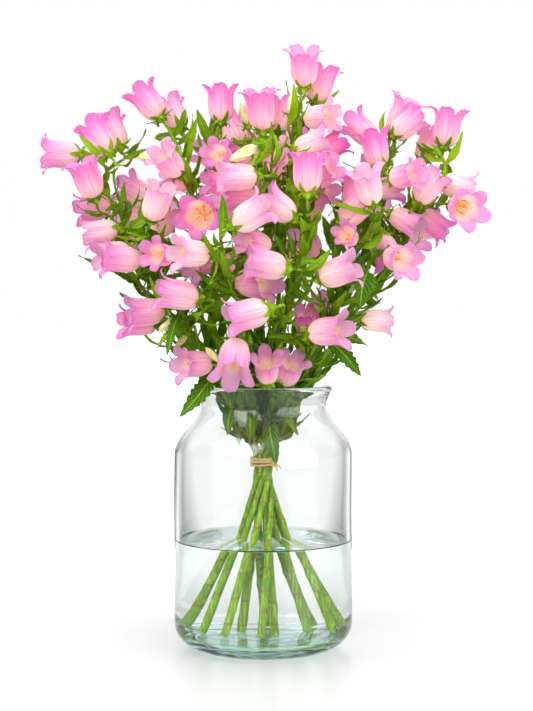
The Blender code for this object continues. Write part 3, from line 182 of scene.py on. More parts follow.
BLOOMS = tuple(Bloom(stem, *row) for stem, rows in (
    ("left_high", [
        ("a", 80, 155, 45, 154, 0, 0, 1.0, 0.55), ("b", 105, 154, 88, 126, 14, -20, 1.0, 0.75),
        ("c", 94, 199, 82, 163, -32, 15, 1.02, 0.7), ("d", 112, 207, 78, 212, -2, 0, 0.95, 0.6),
        ("d", 113, 232, 85, 237, -10, 5, 0.95, 0.2), ("d", 140, 226, 112, 238, 14, 0, 0.85, 0.45),
        ("b", 125, 150, 112, 122, 42, -25, 0.95, 0.5)]),
    ("left_mid", [
        ("a", 162, 122, 139, 90, 10, -10, 1.0, 0.75),
        ("b", 184, 172, 170, 154, -64, 40, 0.9, 0.35),
        ("b", 183, 180, 153, 170, -46, 15, 0.9, 0.35),
        ("c", 150, 219, 160, 190, -66, 20, 0.95, 0.12),
        ("c", 163, 230, 178, 202, -48, 10, 0.95, 0.2),
        ("d", 202, 209, 197, 214, -98, 78, 1.1, 0.8),
        ("bud", 156, 158, 133, 157, -10, 0, 0.75, 0.0, Kind.BUD)]),
    ("left_high", [
        ("d", 125, 250, 96, 256, -34, 20, 0.95, 0.4),
        ("d", 141, 262, 108, 258, -58, 10, 0.95, 0.55)]),
    ("left_low", [
        ("b", 166, 259, 153, 257, -78, 58, 0.8, 0.65),
        ("b", 211, 249, 180, 247, -98, 30, 0.95, 0.08),
        ("b", 208, 258, 188, 270, -70, 30, 0.9, 0.45),
        ("c", 199, 294, 160, 287, -84, 10, 1.05, 0.4),
        ("d", 168, 308, 133, 312, -44, 15, 1.0, 0.5),
        ("d", 150, 325, 118, 325, -28, 15, 0.95, 0.65),
        ("bud", 170, 322, 157, 334, -62, 0, 0.6, 0.1, Kind.BUD),
        ("bud", 184, 338, 174, 350, -56, 0, 0.55, 0.3, Kind.BUD)]),
    ("mid_left", [
        ("a", 221, 119, 221, 88, -10, 0, 0.95, 0.7),
        ("b", 226, 168, 215, 162, -66, 66, 0.75, 0.75),
        ("b", 220, 168, 197, 165, -44, 20, 0.8, 0.6),
        ("b", 256, 160, 237, 151, -44, 20, 0.85, 0.8),
        ("b", 229, 201, 213, 188, -48, 25, 0.85, 0.75),
        ("d", 241, 225, 229, 208, -72, 30, 0.9, 0.35),
        ("c", 251, 177, 220, 178, -82, 10, 0.95, 0.25),
        ("c", 256, 195, 224, 196, -66, 5, 0.95, 0.45),
        ("bud", 258, 153, 228, 168, -80, 0, 0.95, 0.0, Kind.BUD),
        ("bud", 247, 123, 240, 100, -10, 0, 0.75, 0.05, Kind.BUD)]),
    ("top", [
        ("a", 261, 131, 258, 93, -32, 15, 1.05, 0.65), ("a", 280, 128, 281, 98, -8, 0, 0.9, 0.5),
        ("b", 299, 88, 299, 56, 0, 25, 1.0, 0.55), ("b", 321, 97, 331, 64, 14, 0, 1.0, 0.6),
        ("c", 306, 115, 332, 113, -26, 35, 0.9, 0.1),
        ("c", 297, 148, 325, 138, -38, 0, 0.9, 0.12), ("c", 322, 152, 344, 138, -6, 0, 0.9, 0.8),
        ("d", 299, 150, 290, 144, -64, 62, 0.65, 0.65),
        ("d", 260, 186, 266, 168, -50, 40, 0.75, 0.45),
        ("bud", 290, 110, 292, 92, -36, 0, 0.6, 0.1, Kind.BUD)]),
    ("front", [
        ("a", 306, 190, 306, 156, -82, 5, 1.02, 0.65),
        ("b", 312, 176, 331, 165, -50, 35, 0.85, 0.6),
        ("b", 306, 190, 331, 184, -44, 30, 0.85, 0.6),
        ("b", 318, 220, 327, 199, -36, 20, 0.85, 0.5),
        ("c", 234, 225, 264, 207, -102, 10, 1.0, 0.15),
        ("c", 296, 218, 269, 196, -84, 10, 0.95, 0.3),
        ("d", 288, 253, 254, 248, -106, 5, 1.0, 0.45),
        ("d", 262, 262, 239, 254, -80, 35, 0.85, 0.45),
        ("e", 239, 284, 268, 284, -112, 40, 1.05, 0.5),
        ("f", 263, 311, 230, 320, -114, 10, 1.05, 0.4)]),
    ("front_low", [
        ("a", 236, 346, 233, 374, -106, 40, 1.1, 0.45),
        ("b", 265, 383, 263, 360, -84, 45, 0.85, 0.5),
        ("b", 289, 380, 296, 360, -74, 40, 0.85, 0.45),
        ("c", 206, 364, 181, 364, -70, 35, 0.95, 0.45),
        ("bud", 215, 357, 204, 346, -66, 0, 0.6, 0.05, Kind.BUD)]),
    ("right_mid", [
        ("a", 354, 238, 344, 232, -80, 62, 0.68, 0.55),
        ("b", 383, 210, 375, 182, -68, 25, 0.95, 0.25),
        ("b", 333, 218, 357, 196, -58, 0, 0.95, 0.3),
        ("b", 345, 208, 349, 182, -38, 0, 0.85, 0.6),
        ("c", 323, 276, 354, 265, -98, 15, 1.0, 0.25),
        ("d", 312, 333, 343, 330, -98, 30, 1.0, 0.4),
        ("e", 361, 320, 390, 321, -56, 0, 0.8, 0.0, Kind.YOUNG),
        ("f", 305, 330, 302, 307, -64, 30, 0.75, 0.85),
        ("f", 318, 324, 326, 304, -58, 30, 0.75, 0.6),
        ("g", 314, 252, 302, 232, -48, 30, 0.85, 0.5),
        ("bud", 356, 284, 347, 294, -64, 0, 0.5, 0.15, Kind.BUD)]),
    ("right_high", [
        ("a", 378, 131, 358, 113, 8, -20, 0.95, 0.55),
        ("a", 371, 166, 366, 141, -14, 0, 0.95, 0.8), ("b", 399, 123, 411, 97, 14, 15, 1.0, 0.5),
        ("b", 405, 135, 424, 120, 6, 0, 0.9, 0.4), ("c", 389, 170, 408, 167, -46, 45, 0.85, 0.5),
        ("c", 390, 193, 413, 192, -34, 0, 0.85, 0.45)]),
    ("right_far", [
        ("a", 439, 144, 445, 110, 10, 0, 1.0, 0.65), ("b", 444, 172, 468, 178, -8, 0, 0.9, 0.1),
        ("b", 428, 206, 445, 183, -42, 0, 0.95, 0.25),
        ("b", 428, 200, 422, 172, -14, 10, 0.9, 0.1),
        ("c", 462, 206, 467, 210, -40, 75, 1.05, 0.6),
        ("d", 391, 244, 400, 249, -80, 62, 0.95, 0.5),
        ("d", 386, 254, 393, 281, -58, 0, 0.95, 0.75),
        ("e", 398, 212, 418, 222, -44, 20, 0.85, 0.3),
        ("e", 430, 216, 446, 230, -14, 10, 0.85, 0.75)]),
    ("back", [
        ("a", 240, 150, 226, 122, 70, -25, 1.0, 0.5),
        ("a", 224, 168, 200, 148, 86, -25, 1.0, 0.4),
        ("a", 256, 166, 255, 140, 92, -35, 1.0, 0.6),
        ("b", 276, 156, 290, 130, 72, -30, 1.0, 0.45),
        ("b", 292, 176, 316, 156, 86, -25, 0.95, 0.6),
        ("b", 272, 186, 286, 164, 108, -45, 1.0, 0.3),
        ("c", 258, 206, 256, 196, 140, -75, 1.05, 0.7),
        ("c", 248, 222, 224, 208, 126, -40, 1.0, 0.35),
        ("c", 266, 222, 290, 208, 128, -40, 1.0, 0.5),
        ("d", 250, 272, 230, 260, 122, -45, 1.0, 0.5),
        ("d", 262, 264, 261, 252, 144, -70, 1.0, 0.3),
        ("d", 274, 262, 294, 248, 128, -45, 1.0, 0.6)]),
    ("left_high", [
        ("e", 150, 200, 126, 186, 62, -30, 1.0, 0.5),
        ("e", 152, 222, 128, 216, 78, -45, 1.0, 0.3),
        ("e", 170, 252, 148, 246, 86, -45, 1.0, 0.6)]),
    ("left_mid", [
        ("a", 182, 130, 170, 104, 44, -25, 0.95, 0.4)]),
    ("right_high", [
        ("d", 352, 190, 372, 172, 66, -30, 1.0, 0.5),
        ("d", 350, 214, 376, 204, 82, -40, 1.0, 0.35),
        ("d", 338, 244, 362, 236, 90, -45, 1.0, 0.6)]),
    ("right_far", [
        ("a", 420, 160, 430, 134, 44, -25, 0.95, 0.5),
        ("e", 410, 222, 438, 214, 18, -10, 0.95, 0.5),
        ("e", 396, 246, 424, 242, 42, -30, 0.95, 0.4)]),
) for row in rows)

LARGE_LEAVES = (
    Leaf("left_low", (207, 378, -64), (180, 417, -84), 17),
    Leaf("right_mid", (375, 258, -60), (360, 308, -88), 22),
    Leaf("right_mid", (352, 262, -40), (380, 302, -30), 15),
    Leaf("left_low", (158, 292, -50), (138, 274, -44), 15),
    Leaf("left_low", (180, 312, -76), (167, 356, -88), 10),
    Leaf("front", (240, 338, -96), (219, 324, -92), 9),
    Leaf("right_mid", (330, 345, -66), (361, 376, -60), 15),
    Leaf("right_mid", (322, 350, -60), (332, 384, -58), 16),
    Leaf("right_high", (330, 330, 20), (368, 346, 14), 13),
    Leaf("right_far", (424, 168, -20), (446, 204, -44), 9),
    Leaf("mid_left", (262, 420, -12), (275, 462, -16), 15),
    Leaf("left_mid", (224, 412, -18), (239, 444, -22), 7),
)

# Leaves over and beside the tie, which only the looks have
NECK_LEAVES = (
    Leaf("front", (268, 418, -34), (276, 464, -24), 16),
    Leaf("left_mid", (226, 408, -26), (240, 447, -34), 8),
    Leaf("right_mid", (284, 412, -30), (298, 436, -40), 9),
    Leaf("front_low", (254, 410, -40), (250, 442, -44), 13),
    Leaf("left_low", (240, 410, -34), (228, 436, -46), 12),
)


def unit(vector: Sequence[float]) -> Points:
    """Give a vector's direction."""
    vector = np.asarray(vector, float)
    return vector / max(np.linalg.norm(vector), 1e-9)


def frame_of(axis: Points, turn: float = 0.0) -> tuple[Points, Points]:
    """Give two directions square to an axis and to each other, turned about it by radians."""
    helper = UP if abs(axis[2]) < 0.9 else np.array([1.0, 0, 0])
    side = unit(np.cross(axis, helper))
    other = np.cross(axis, side)
    return (side * math.cos(turn) + other * math.sin(turn),
            other * math.cos(turn) - side * math.sin(turn))


def smooth_curve(points: Points, steps: int) -> Points:
    """Run a Catmull-Rom curve through points.

    Args:
        points: the points.
        steps: how many steps lie between two of them.

    Returns:
        The curve's points, the last of the given ones included.
    """
    points = np.asarray(points, float)
    ends = np.vstack([2 * points[0] - points[1], points, 2 * points[-1] - points[-2]])
    curve = []
    for k in range(len(points) - 1):
        a, b, c, d = ends[k:k + 4]
        for t in (step / steps for step in range(steps)):
            curve.append(0.5 * (2 * b + (c - a) * t + (2 * a - 5 * b + 4 * c - d) * t ** 2
                                + (3 * b - a - 3 * c + d) * t ** 3))
    return np.array(curve + [points[-1]])


def bezier(handles: Sequence[Points], t: float) -> Points:
    """Give the point at t on a cubic curve with four handles."""
    a, b, c, d = handles
    return a * (1 - t) ** 3 + 3 * b * t * (1 - t) ** 2 + 3 * c * t ** 2 * (1 - t) + d * t ** 3


def sample(points: Points, at: Points) -> Points:
    """Read a run of points at places between them, where whole numbers are its own points."""
    return np.column_stack([np.interp(at, range(len(points)), column) for column in points.T])


def ring(along: float, radius: float, count: int) -> list[Triple]:
    """Give points on a ring round the axis of a flower that points along +Z."""
    turns = [FULL_TURN * k / count for k in range(count)]
    return [(radius * math.cos(t), radius * math.sin(t), along) for t in turns]


def arc(centre: Pair, radius: float, start: float, end: float, steps: int) -> list[Pair]:
    """Give points on an arc in the (radius, height) plane, by angles in degrees."""
    angles = [math.radians(start + (end - start) * k / steps) for k in range(steps + 1)]
    return [(centre[0] + radius * math.cos(a), centre[1] + radius * math.sin(a)) for a in angles]


def around(away: Points, turn: Points, up: Points) -> Points:
    """Give points about Z from how far away each is, its turn in radians and its height."""
    return np.column_stack([away * np.cos(turn), away * np.sin(turn), up])


def turned(out: Points, side: Points | float, up: Points, turn: float) -> Points:
    """Turn points about Z, given by how far they lie out along X, aside along Y, and up."""
    return np.column_stack([out * math.cos(turn) - side * math.sin(turn),
                            out * math.sin(turn) + side * math.cos(turn), up])


def tree_of(points: Sequence[Points]) -> kdtree.KDTree:
    """Put points into a form in which their neighbours are quick to find."""
    tree = kdtree.KDTree(len(points))
    for k, point in enumerate(points):
        tree.insert(point, k)
    tree.balance()
    return tree


@dataclass(frozen=True)
class FlowerSizes:
    """A full-grown flower, along its axis from where it sits in its calyx."""

    petals: int = 5
    length: float = 35.0
    calyx_depth: float = 7.0
    shoulder: Pair = (7.0, 10.0)
    belly: Pair = (21.0, 14.6)
    throat: Pair = (31.0, 14.5)
    lobe_tip: Pair = (37.0, 23.0)
    lobe_reach: float = 20.0
    wall: float = 13.2
    wall_span: Pair = (12.0, 29.0)
    sepal_tip: Pair = (5.0, 13.5)
    reach_along: tuple[float, ...] = (-8, -1, 5, 9, 20, 30, 34, 40)
    bell_reach: tuple[float, ...] = (4.0, 7.5, 14, 14.2, 15, 16.5, 23.5, 23.5)
    body_reach: tuple[float, ...] = (4.0, 7.5, 12, 13, 14.6, 14, 14, 12)
    bud_reach: tuple[float, ...] = (4.0, 7.5, 13, 10, 8.5, 6, 4, 2)

    def calyx_samples(self) -> list[Triple]:
        """Give the points of a calyx that are kept clear of other flowers."""
        return [(0, 0, -self.calyx_depth)] + ring(*self.sepal_tip, 5)

    def bell_samples(self) -> list[Triple]:
        """Give such points of an open bell."""
        return (ring(*self.shoulder, 5) + ring(*self.belly, 8) + ring(*self.throat, 5)
                + ring(*self.lobe_tip, 10))

    def bud_samples(self) -> list[Triple]:
        """Give such points of a bud, as many as an open bell has."""
        points = ring(10, 9, 5) + ring(20, 8, 5)
        return points + [(0, 0, 30)] * (len(self.bell_samples()) - len(points))


SIZES = FlowerSizes()


@dataclass(eq=False)
class Flower:
    """A bell or a bud, by the point where it sits in its calyx and its axis."""

    number: int
    bloom: Bloom
    mate: "Flower | None" = None

    def __post_init__(self) -> None:
        """Set the flower at its bloom's readings."""
        bloom = self.bloom
        self.size = bloom.size
        mouth = EYE.point(bloom.mouth_across, bloom.mouth_down, bloom.depth)
        flat = unit(mouth - EYE.point(bloom.foot_across, bloom.foot_down, bloom.depth))
        lean = math.radians(bloom.toward)
        self.axis = unit(flat * math.cos(lean) + np.array([0, -1, 0]) * math.sin(lean))
        self.foot = mouth - self.axis * SIZES.length * self.size
        self.home = self.foot.copy()

    @property
    def node(self) -> tuple[str, str]:
        """The stem and the letter of the node that the flower is part of."""
        return self.bloom.stem, self.bloom.group

    @property
    def mouth(self) -> Points:
        """The middle of the mouth."""
        return self.foot + self.axis * SIZES.length * self.size

    @property
    def turn(self) -> float:
        """How far the flower is turned about its axis, so that a lobe points at its mate."""
        if self.mate is None:
            return self.number * 1.7
        side, other = frame_of(self.axis)
        way = self.mate.mouth - self.mouth
        return math.atan2(way @ other, way @ side)

    @property
    def stalk_end(self) -> Points:
        """Where the stalk runs into the calyx."""
        return self.foot - self.axis * SIZES.calyx_depth * 0.75 * self.size

    def lobe_towards(self, other: "Flower") -> Points:
        """Give the middle of the lobe that points most nearly at another flower."""
        side, up = frame_of(self.axis, self.turn)
        way = other.mouth - self.mouth
        angles = [FULL_TURN * k / SIZES.petals for k in range(SIZES.petals)]
        lobes = [side * math.cos(a) + up * math.sin(a) for a in angles]
        return self.mouth + max(lobes, key=lambda lobe: lobe @ way) * SIZES.lobe_reach * self.size

    def samples(self) -> Points:
        """Give the flower's sample points in the world."""
        bud = self.bloom.kind is Kind.BUD
        return self.place(SIZES.calyx_samples()
                          + (SIZES.bud_samples() if bud else SIZES.bell_samples()), 0.0)

    def place(self, local: Points, turn: float | None = None) -> Points:
        """Bring points of a shape that stands along +Z to the flower's place.

        Args:
            local: the shape's points.
            turn: its turn about the axis, the flower's own if not given.

        Returns:
            The points in the world.
        """
        side, other = frame_of(self.axis, self.turn if turn is None else turn)
        return self.foot + np.asarray(local, float) * self.size @ np.array([side, other, self.axis])


@dataclass(eq=False)
class Strand:
    """A stem or a stalk: guide points from root to end, radii there, and what carries it.

    A stalk also has the strand that it grows from, the number of the point there, and its flower.
    """

    stem: str
    points: Points
    radii: Points
    parent: "Strand | None" = None
    root: int = 0
    flower: Flower | None = None

    def __post_init__(self) -> None:
        """Keep points and radii as arrays."""
        self.points = np.array(self.points, float)
        self.radii = np.array(self.radii, float)

    def dense(self, steps: int = 4) -> tuple[Points, Points, Points]:
        """Give closely set points along the strand, with their radii and their places."""
        count = len(self.points)
        at = np.linspace(0, count - 1, (count - 1) * steps + 1)
        return sample(self.points, at), np.interp(at, range(count), self.radii), at


def reach_at(flowers: Sequence[Flower], along: Points, body_only: bool = False) -> Points:
    """Give the radius that each flower takes up at places along its axis.

    Args:
        flowers: the flowers, one for each first index of the places.
        along: the places.
        body_only: whether a bell's lobes are left out.

    Returns:
        The radii, far below nought where a flower doesn't reach.
    """
    result = np.zeros_like(along)
    for k, flower in enumerate(flowers):
        bell = SIZES.body_reach if body_only else SIZES.bell_reach
        profile = SIZES.bud_reach if flower.bloom.kind is Kind.BUD else bell
        place = along[k] / flower.size
        reach = np.interp(place, SIZES.reach_along, profile) * flower.size
        result[k] = np.where((place > -9) & (place < 41), reach, TOUCHING)
    return result


def axes_of(flowers: Sequence[Flower]) -> tuple[Points, Points]:
    """Give the points where flowers sit in their calyxes, and their axes."""
    return np.array([f.foot for f in flowers]), np.array([f.axis for f in flowers])


def beside(feet: Points, axes: Points, points: Points) -> tuple[Points, Points, Points]:
    """Measure points against every axis.

    Args:
        feet: a point on each axis.
        axes: the axes' directions.
        points: the points.

    Returns:
        By axis and point: the place along the axis, the way out from it, and how far out.
    """
    offset = points[None] - feet[:, None]
    along = np.einsum("bpx,bx->bp", offset, axes)
    out = offset - along[..., None] * axes[:, None]
    return along, out, np.linalg.norm(out, axis=-1)


@dataclass
class Bunch:
    """The plan of all stems, stalks and flowers, settled clear of each other."""

    levels: tuple[float, ...] = (14.6, 50, 85, 115, 140, 160, 173, 187, 204, 226, 250)
    tie_height: float = 180.0
    tie_ring: float = 8.2
    tie_inner_ring: float = 2.8
    tie_twist: float = 78.0
    tie_inside: float = 10.9
    tie_half: float = 9.0
    tie_step: float = 40.0
    inner_ties: Pair = (150.0, 180.0)
    outer_places: int = 9
    neck_room: float = 2.5
    foot_radius: float = 3.1
    tie_radius: float = 2.05
    top_radius: float = 1.5
    stalk_radius: float = 1.35
    least_stalk: float = 14.0
    least_rise: float = 12.0
    rise_cost: float = 1.2
    bend_costs: Pair = (0.25, 0.15)
    long_stalk: float = 45.0
    bundle_rounds: int = 500
    bundle_straight: float = 0.15
    bundle_push: float = 0.3
    bundle_room: float = 0.5
    bundle_slant: float = 0.93
    settle_rounds: int = 120
    stiffness: float = 0.06
    touch: float = 0.8
    mates_overlap: float = 2.0
    push_share: float = 0.35
    pull_share: float = 0.3
    push_across: Triple = (0.6, 1, 0.6)
    push_in_depth: float = 0.8
    homeward: Triple = (0.03, 0.004, 0.03)
    give_way: float = 0.02
    own_reach: float = 17.0
    follow_share: float = 1.6
    room: float = 1.0
    strand_room: float = 1.8
    gap: float = 0.35
    most_move: float = 3.0
    flowers: list[Flower] = field(default_factory=list)
    strands: list[Strand] = field(default_factory=list)
    pairs: list[tuple[Flower, Flower]] = field(default_factory=list)

    def grow(self) -> None:
        """Plan the flowers, the stems and their stalks, and settle them."""
        self.flowers = [Flower(k, bloom) for k, bloom in enumerate(BLOOMS)]
        self.pair_up()
        for _ in range(self.settle_rounds // 2):
            self.push_flowers()
        bundle, low_radii = self.lay_bundle()
        for stem, low_points in zip(STEMS, bundle):
            grown = [self.stem_strand(stem, low_points, low_radii)]
            own = [f for f in self.flowers if f.bloom.stem == stem.name]
            reach = grown[0].points[len(self.levels):]
            own.sort(key=lambda f: np.linalg.norm(reach - f.stalk_end, axis=1).min())
            for flower in own:
                grown.append(self.stalk_strand(stem.name, grown, flower))
            self.strands += grown
        for _ in range(self.settle_rounds):
            self.push_flowers()
            self.push_strands()
        self.follow()

    def pair_up(self) -> None:
        """Give each bell the nearest one of its node as its mate."""
        for flower in self.flowers:
            mates = [f for f in self.flowers[:flower.number]
                     if f.node == flower.node and f.bloom.kind is Kind.BELL]
            if mates and flower.bloom.kind is Kind.BELL:
                flower.mate = min(mates, key=lambda f: np.linalg.norm(f.mouth - flower.mouth))
                flower.mate.mate = flower.mate.mate or flower
                self.pairs.append((flower, flower.mate))

    @staticmethod
    def way_to_touch(one: Flower, other: Flower) -> Points:
        """Give the shortest move of one bell that brings a lobe of either onto the other."""
        ways = [other.lobe_towards(one) - one.lobe_towards(other)]
        for giver, taker, sign in ((one, other, 1), (other, one, -1)):
            lobe = giver.lobe_towards(taker)
            low, high = SIZES.wall_span
            along = min(max((lobe - taker.foot) @ taker.axis, low * taker.size), high * taker.size)
            centre = taker.foot + taker.axis * along
            wall = centre + unit(lobe - centre) * SIZES.wall * taker.size
            ways.append((wall - lobe) * sign)
        return min(ways, key=np.linalg.norm)

    def overlaps(self) -> tuple[Points, Points]:
        """Measure how deep each flower's samples lie in the others, and their ways out.

        Returns:
            Depths and ways, by the flower that is met, the one that meets it, and its sample.
        """
        samples = np.array([f.samples() for f in self.flowers])
        by_sample = (len(self.flowers), *samples.shape[:2])
        along, out, radius = beside(*axes_of(self.flowers), samples.reshape(-1, 3))
        inside = reach_at(self.flowers, along) + self.room - radius
        body = reach_at(self.flowers, along, True) - self.mates_overlap - radius
        inside, body = inside.reshape(by_sample), body.reshape(by_sample)
        together = np.array([[a.node == b.node for a in self.flowers] for b in self.flowers])
        calyx = len(SIZES.calyx_samples())
        inside[together, calyx:] = body[together, calyx:]
        own = np.arange(len(self.flowers))
        inside[own, own] = TOUCHING
        return inside, out.reshape(*by_sample, 3)

    def push_flowers(self) -> None:
        """Move flowers of different nodes apart, mostly in depth, and draw mates together."""
        inside, out = self.overlaps()
        deepest = inside.argmax(axis=-1)
        moves = np.zeros((len(self.flowers), 3))
        depth = np.array([f.foot[1] + f.mouth[1] for f in self.flowers])
        for b, a in np.argwhere(inside.max(axis=-1) > 0):
            worst = deepest[b, a]
            apart = 1.0 if depth[a] >= depth[b] else -1.0
            direction = unit(unit(out[b, a, worst]) * self.push_across
                             + np.array([0, self.push_in_depth * apart, 0]))
            move = direction * inside[b, a, worst] * self.push_share
            moves[a] += move
            moves[b] -= move
        for one, other in self.pairs:
            pull = self.way_to_touch(one, other)
            if np.linalg.norm(pull) > self.touch:
                moves[one.number] += pull * self.pull_share
                moves[other.number] -= pull * self.pull_share
        for flower, move in zip(self.flowers, moves):
            homeward = (flower.home - flower.foot) * self.homeward
            flower.foot = flower.foot + np.clip(move, -self.most_move, self.most_move) + homeward

    def follow(self) -> None:
        """Bring the ends of each stalk back to its twig and its flower."""
        for strand in self.strands:
            if strand.parent:
                points = strand.points
                points[0] = strand.parent.points[strand.root]
                points[-1] = strand.flower.stalk_end
                reach = np.linalg.norm(points[-1] - points[0])
                points[-2] = points[-1] - strand.flower.axis * min(9.0, reach * 0.3)

    def push_strands(self) -> None:
        """Bend stems and stalks clear of the flowers and of the strands of other stems."""
        self.follow()
        clouds = [strand.dense() for strand in self.strands]
        points = np.vstack([cloud[0] for cloud in clouds])
        radii = np.concatenate([cloud[1] for cloud in clouds])
        owner = np.concatenate([np.full(len(cloud[0]), k) for k, cloud in enumerate(clouds)])
        moves = self.moves_from_flowers(points, radii, owner)
        self.add_moves_between(points, radii, owner, moves)
        start = 0
        for strand, (dense, _, at) in zip(self.strands, clouds):
            self.bend(strand, moves[start:start + len(dense)], at)
            start += len(dense)

    def moves_from_flowers(self, points: Points, radii: Points, owner: Points) -> Points:
        """Give the moves that take strand points out of flowers, and nudge those flowers back.

        Args:
            points: closely set points of all strands.
            radii: the strands' radii there.
            owner: the number of each point's strand.

        Returns:
            A move for each point.
        """
        moves = np.zeros_like(points)
        along, out, distance = beside(*axes_of(self.flowers), points)
        inside = reach_at(self.flowers, along) + radii + self.room - distance
        for k, strand in enumerate(self.strands):
            if strand.flower:
                off = np.linalg.norm(points - strand.flower.foot, axis=1)
                near = off < self.own_reach * strand.flower.size
                inside[strand.flower.number, near & (owner == k)] = TOUCHING
        for b, p in np.argwhere(inside > 0):
            push = unit(out[b, p]) * inside[b, p] * 0.5
            moves[p] += push
            self.flowers[b].foot = self.flowers[b].foot - push * self.give_way
        return moves

    def add_moves_between(self, points: Points, radii: Points, owner: Points,
                          moves: Points) -> None:
        """Add the moves that part the strands of different stems."""
        tree = tree_of(points)
        for k, point in enumerate(points):
            for other, n, distance in tree.find_range(point, radii[k] + 5.0):
                lacking = radii[k] + radii[n] + self.strand_room - distance
                apart = self.strands[owner[n]].stem != self.strands[owner[k]].stem
                if n > k and apart and lacking > 0:
                    push = unit(point - np.array(other) + (0, 1e-3, 0)) * lacking * 0.5
                    moves[k] += push
                    moves[n] -= push

    def bend(self, strand: Strand, part: Points, at: Points) -> None:
        """Move a strand's guide points by the moves of the points near them."""
        points = strand.points
        last = len(points) - (2 if strand.flower else 0)
        first = 1 if strand.parent else len(self.levels)
        for k in range(first, last):
            weight = np.clip(1 - np.abs(at - k), 0, 1)[:, None]
            move = (part * weight).sum(axis=0) / weight.sum() * self.follow_share
            points[k] += np.clip(move, -self.most_move, self.most_move)
        for k in range(first, min(last, len(points) - 1)):
            points[k] += ((points[k - 1] + points[k + 1]) / 2 - points[k]) * self.stiffness
        if strand.parent is None:
            self.hold_in_jar(strand)

    def hold_in_jar(self, strand: Strand) -> None:
        """Keep a stem inside the jar's neck."""
        for point, radius in zip(strand.points, strand.radii):
            away = math.hypot(point[0], point[1])
            most = JAR.inside(point[2]) - radius - self.neck_room
            if self.tie_height < point[2] < JAR.lip_height + 8 and away > most:
                point[:2] *= most / away

    def tie_point(self, stem: Stem) -> Points:
        """Give a stem's place in the tie, turned on from its foot as the bunch's spiral goes."""
        turn = math.radians(self.tie_twist + self.tie_step * stem.tie_place)
        away = self.tie_ring
        if stem.tie_place >= self.outer_places:
            first, step = self.inner_ties
            turn = math.radians(first + step * (stem.tie_place - self.outer_places))
            away = self.tie_inner_ring
        return np.array([away * math.sin(turn), -away * math.cos(turn)])

    def lay_bundle(self) -> tuple[list[Points], Points]:
        """Lay the stems side by side from the jar's floor through the tie to the rim.

        Returns:
            Each stem's points at the levels, and the radii there.
        """
        levels = np.array(self.levels)
        rims = np.array([EYE.point(*stem.guides[0])[:2] for stem in STEMS])
        feet = np.array([stem.foot for stem in STEMS], float)
        ties = np.array([self.tie_point(stem) for stem in STEMS])
        low, high = (np.clip((levels - start) / (end - start), 0, 1)[None, :, None]
                     for start, end in ((JAR.floor, self.tie_height),
                                        (self.tie_height, levels[-1])))
        path = feet[:, None] * (1 - low) + ties[:, None] * (low - high) + rims[:, None] * high
        radii = np.interp(levels, (JAR.floor, self.tie_height - 40, self.tie_height),
                          (self.foot_radius, self.foot_radius * 0.85, self.tie_radius))
        in_tie = abs(levels - self.tie_height) < self.tie_half
        most = np.where(in_tie, self.tie_inside - self.gap - 0.2, 200.0) - radii
        share = ((levels[1:-1] - levels[:-2]) / (levels[2:] - levels[:-2]))[None, :, None]
        own = np.arange(len(STEMS))
        for turn in range(self.bundle_rounds):
            if turn < self.bundle_rounds * 0.7:
                straight = path[:, :-2] * (1 - share) + path[:, 2:] * share
                path[:, 1:-1] += (straight - path[:, 1:-1]) * self.bundle_straight
            between = path[:, None] - path[None]
            distance = np.maximum(np.linalg.norm(between, axis=-1), 1e-6)
            room = (2 * radii + self.bundle_room) / self.bundle_slant
            lacking = np.maximum(room - distance, 0)
            lacking[own, own] = 0
            apart = (between / distance[..., None] * lacking[..., None]).sum(axis=1)
            path += apart * self.bundle_push
            away = np.linalg.norm(path, axis=-1)
            path *= np.minimum(1, most / np.maximum(away, 1e-6))[..., None]
            path[:, 0] = feet
            path[:, -1] = rims
        return [np.column_stack([row, levels]) for row in path], radii

    def stem_strand(self, stem: Stem, low_points: Points, low_radii: Points) -> Strand:
        """Lead a stem up its length in the jar and on to its top."""
        above = [low_points[-1]] + [EYE.point(*guide) for guide in stem.guides[1:]]
        points = list(low_points) + list(smooth_curve(above, 2)[1:])
        extra = len(points) - len(low_points)
        radii = list(low_radii) + list(np.linspace(self.tie_radius, self.top_radius, extra + 1)[1:])
        return Strand(stem.name, points, radii)

    def stalk_strand(self, stem_name: str, grown: Sequence[Strand], flower: Flower) -> Strand:
        """Lead a stalk to a flower, in a soft curve from the nearest twig of its stem below it."""
        end = flower.stalk_end
        at_root, at_end = self.bend_costs
        found = []
        for strand in grown:
            points = strand.points
            first, cut = (1, 2) if strand.parent else (len(self.levels), 0)
            for k in range(first, len(points) - cut):
                way = end - points[k]
                run = unit(points[min(k + 1, len(points) - 1)] - points[k - 1])
                rise = max(0.0, self.least_rise - way[2])
                sharp = 1 - float(run @ unit(way))
                turn_in = 1 - float(unit(way) @ flower.axis)
                cost = np.linalg.norm(way) * (1 + at_root * sharp + at_end * turn_in)
                cost += self.rise_cost * rise
                if np.linalg.norm(way) > self.least_stalk:
                    found.append((cost, strand, k, run))
        _, parent, root, run = min(found, key=lambda seat: seat[0])
        start = parent.points[root]
        size = np.linalg.norm(end - start)
        handles = [start, start + (run * 0.6 + unit(end - start)) * size * 0.22,
                   end - flower.axis * min(size * 0.4, 30), end]
        count = 4 if size > self.long_stalk else 3
        points = [bezier(handles, k / count) for k in range(count)] + [end]
        radii = [self.stalk_radius * 1.15] + [self.stalk_radius] * count
        return Strand(stem_name, points, radii, parent, root, flower)


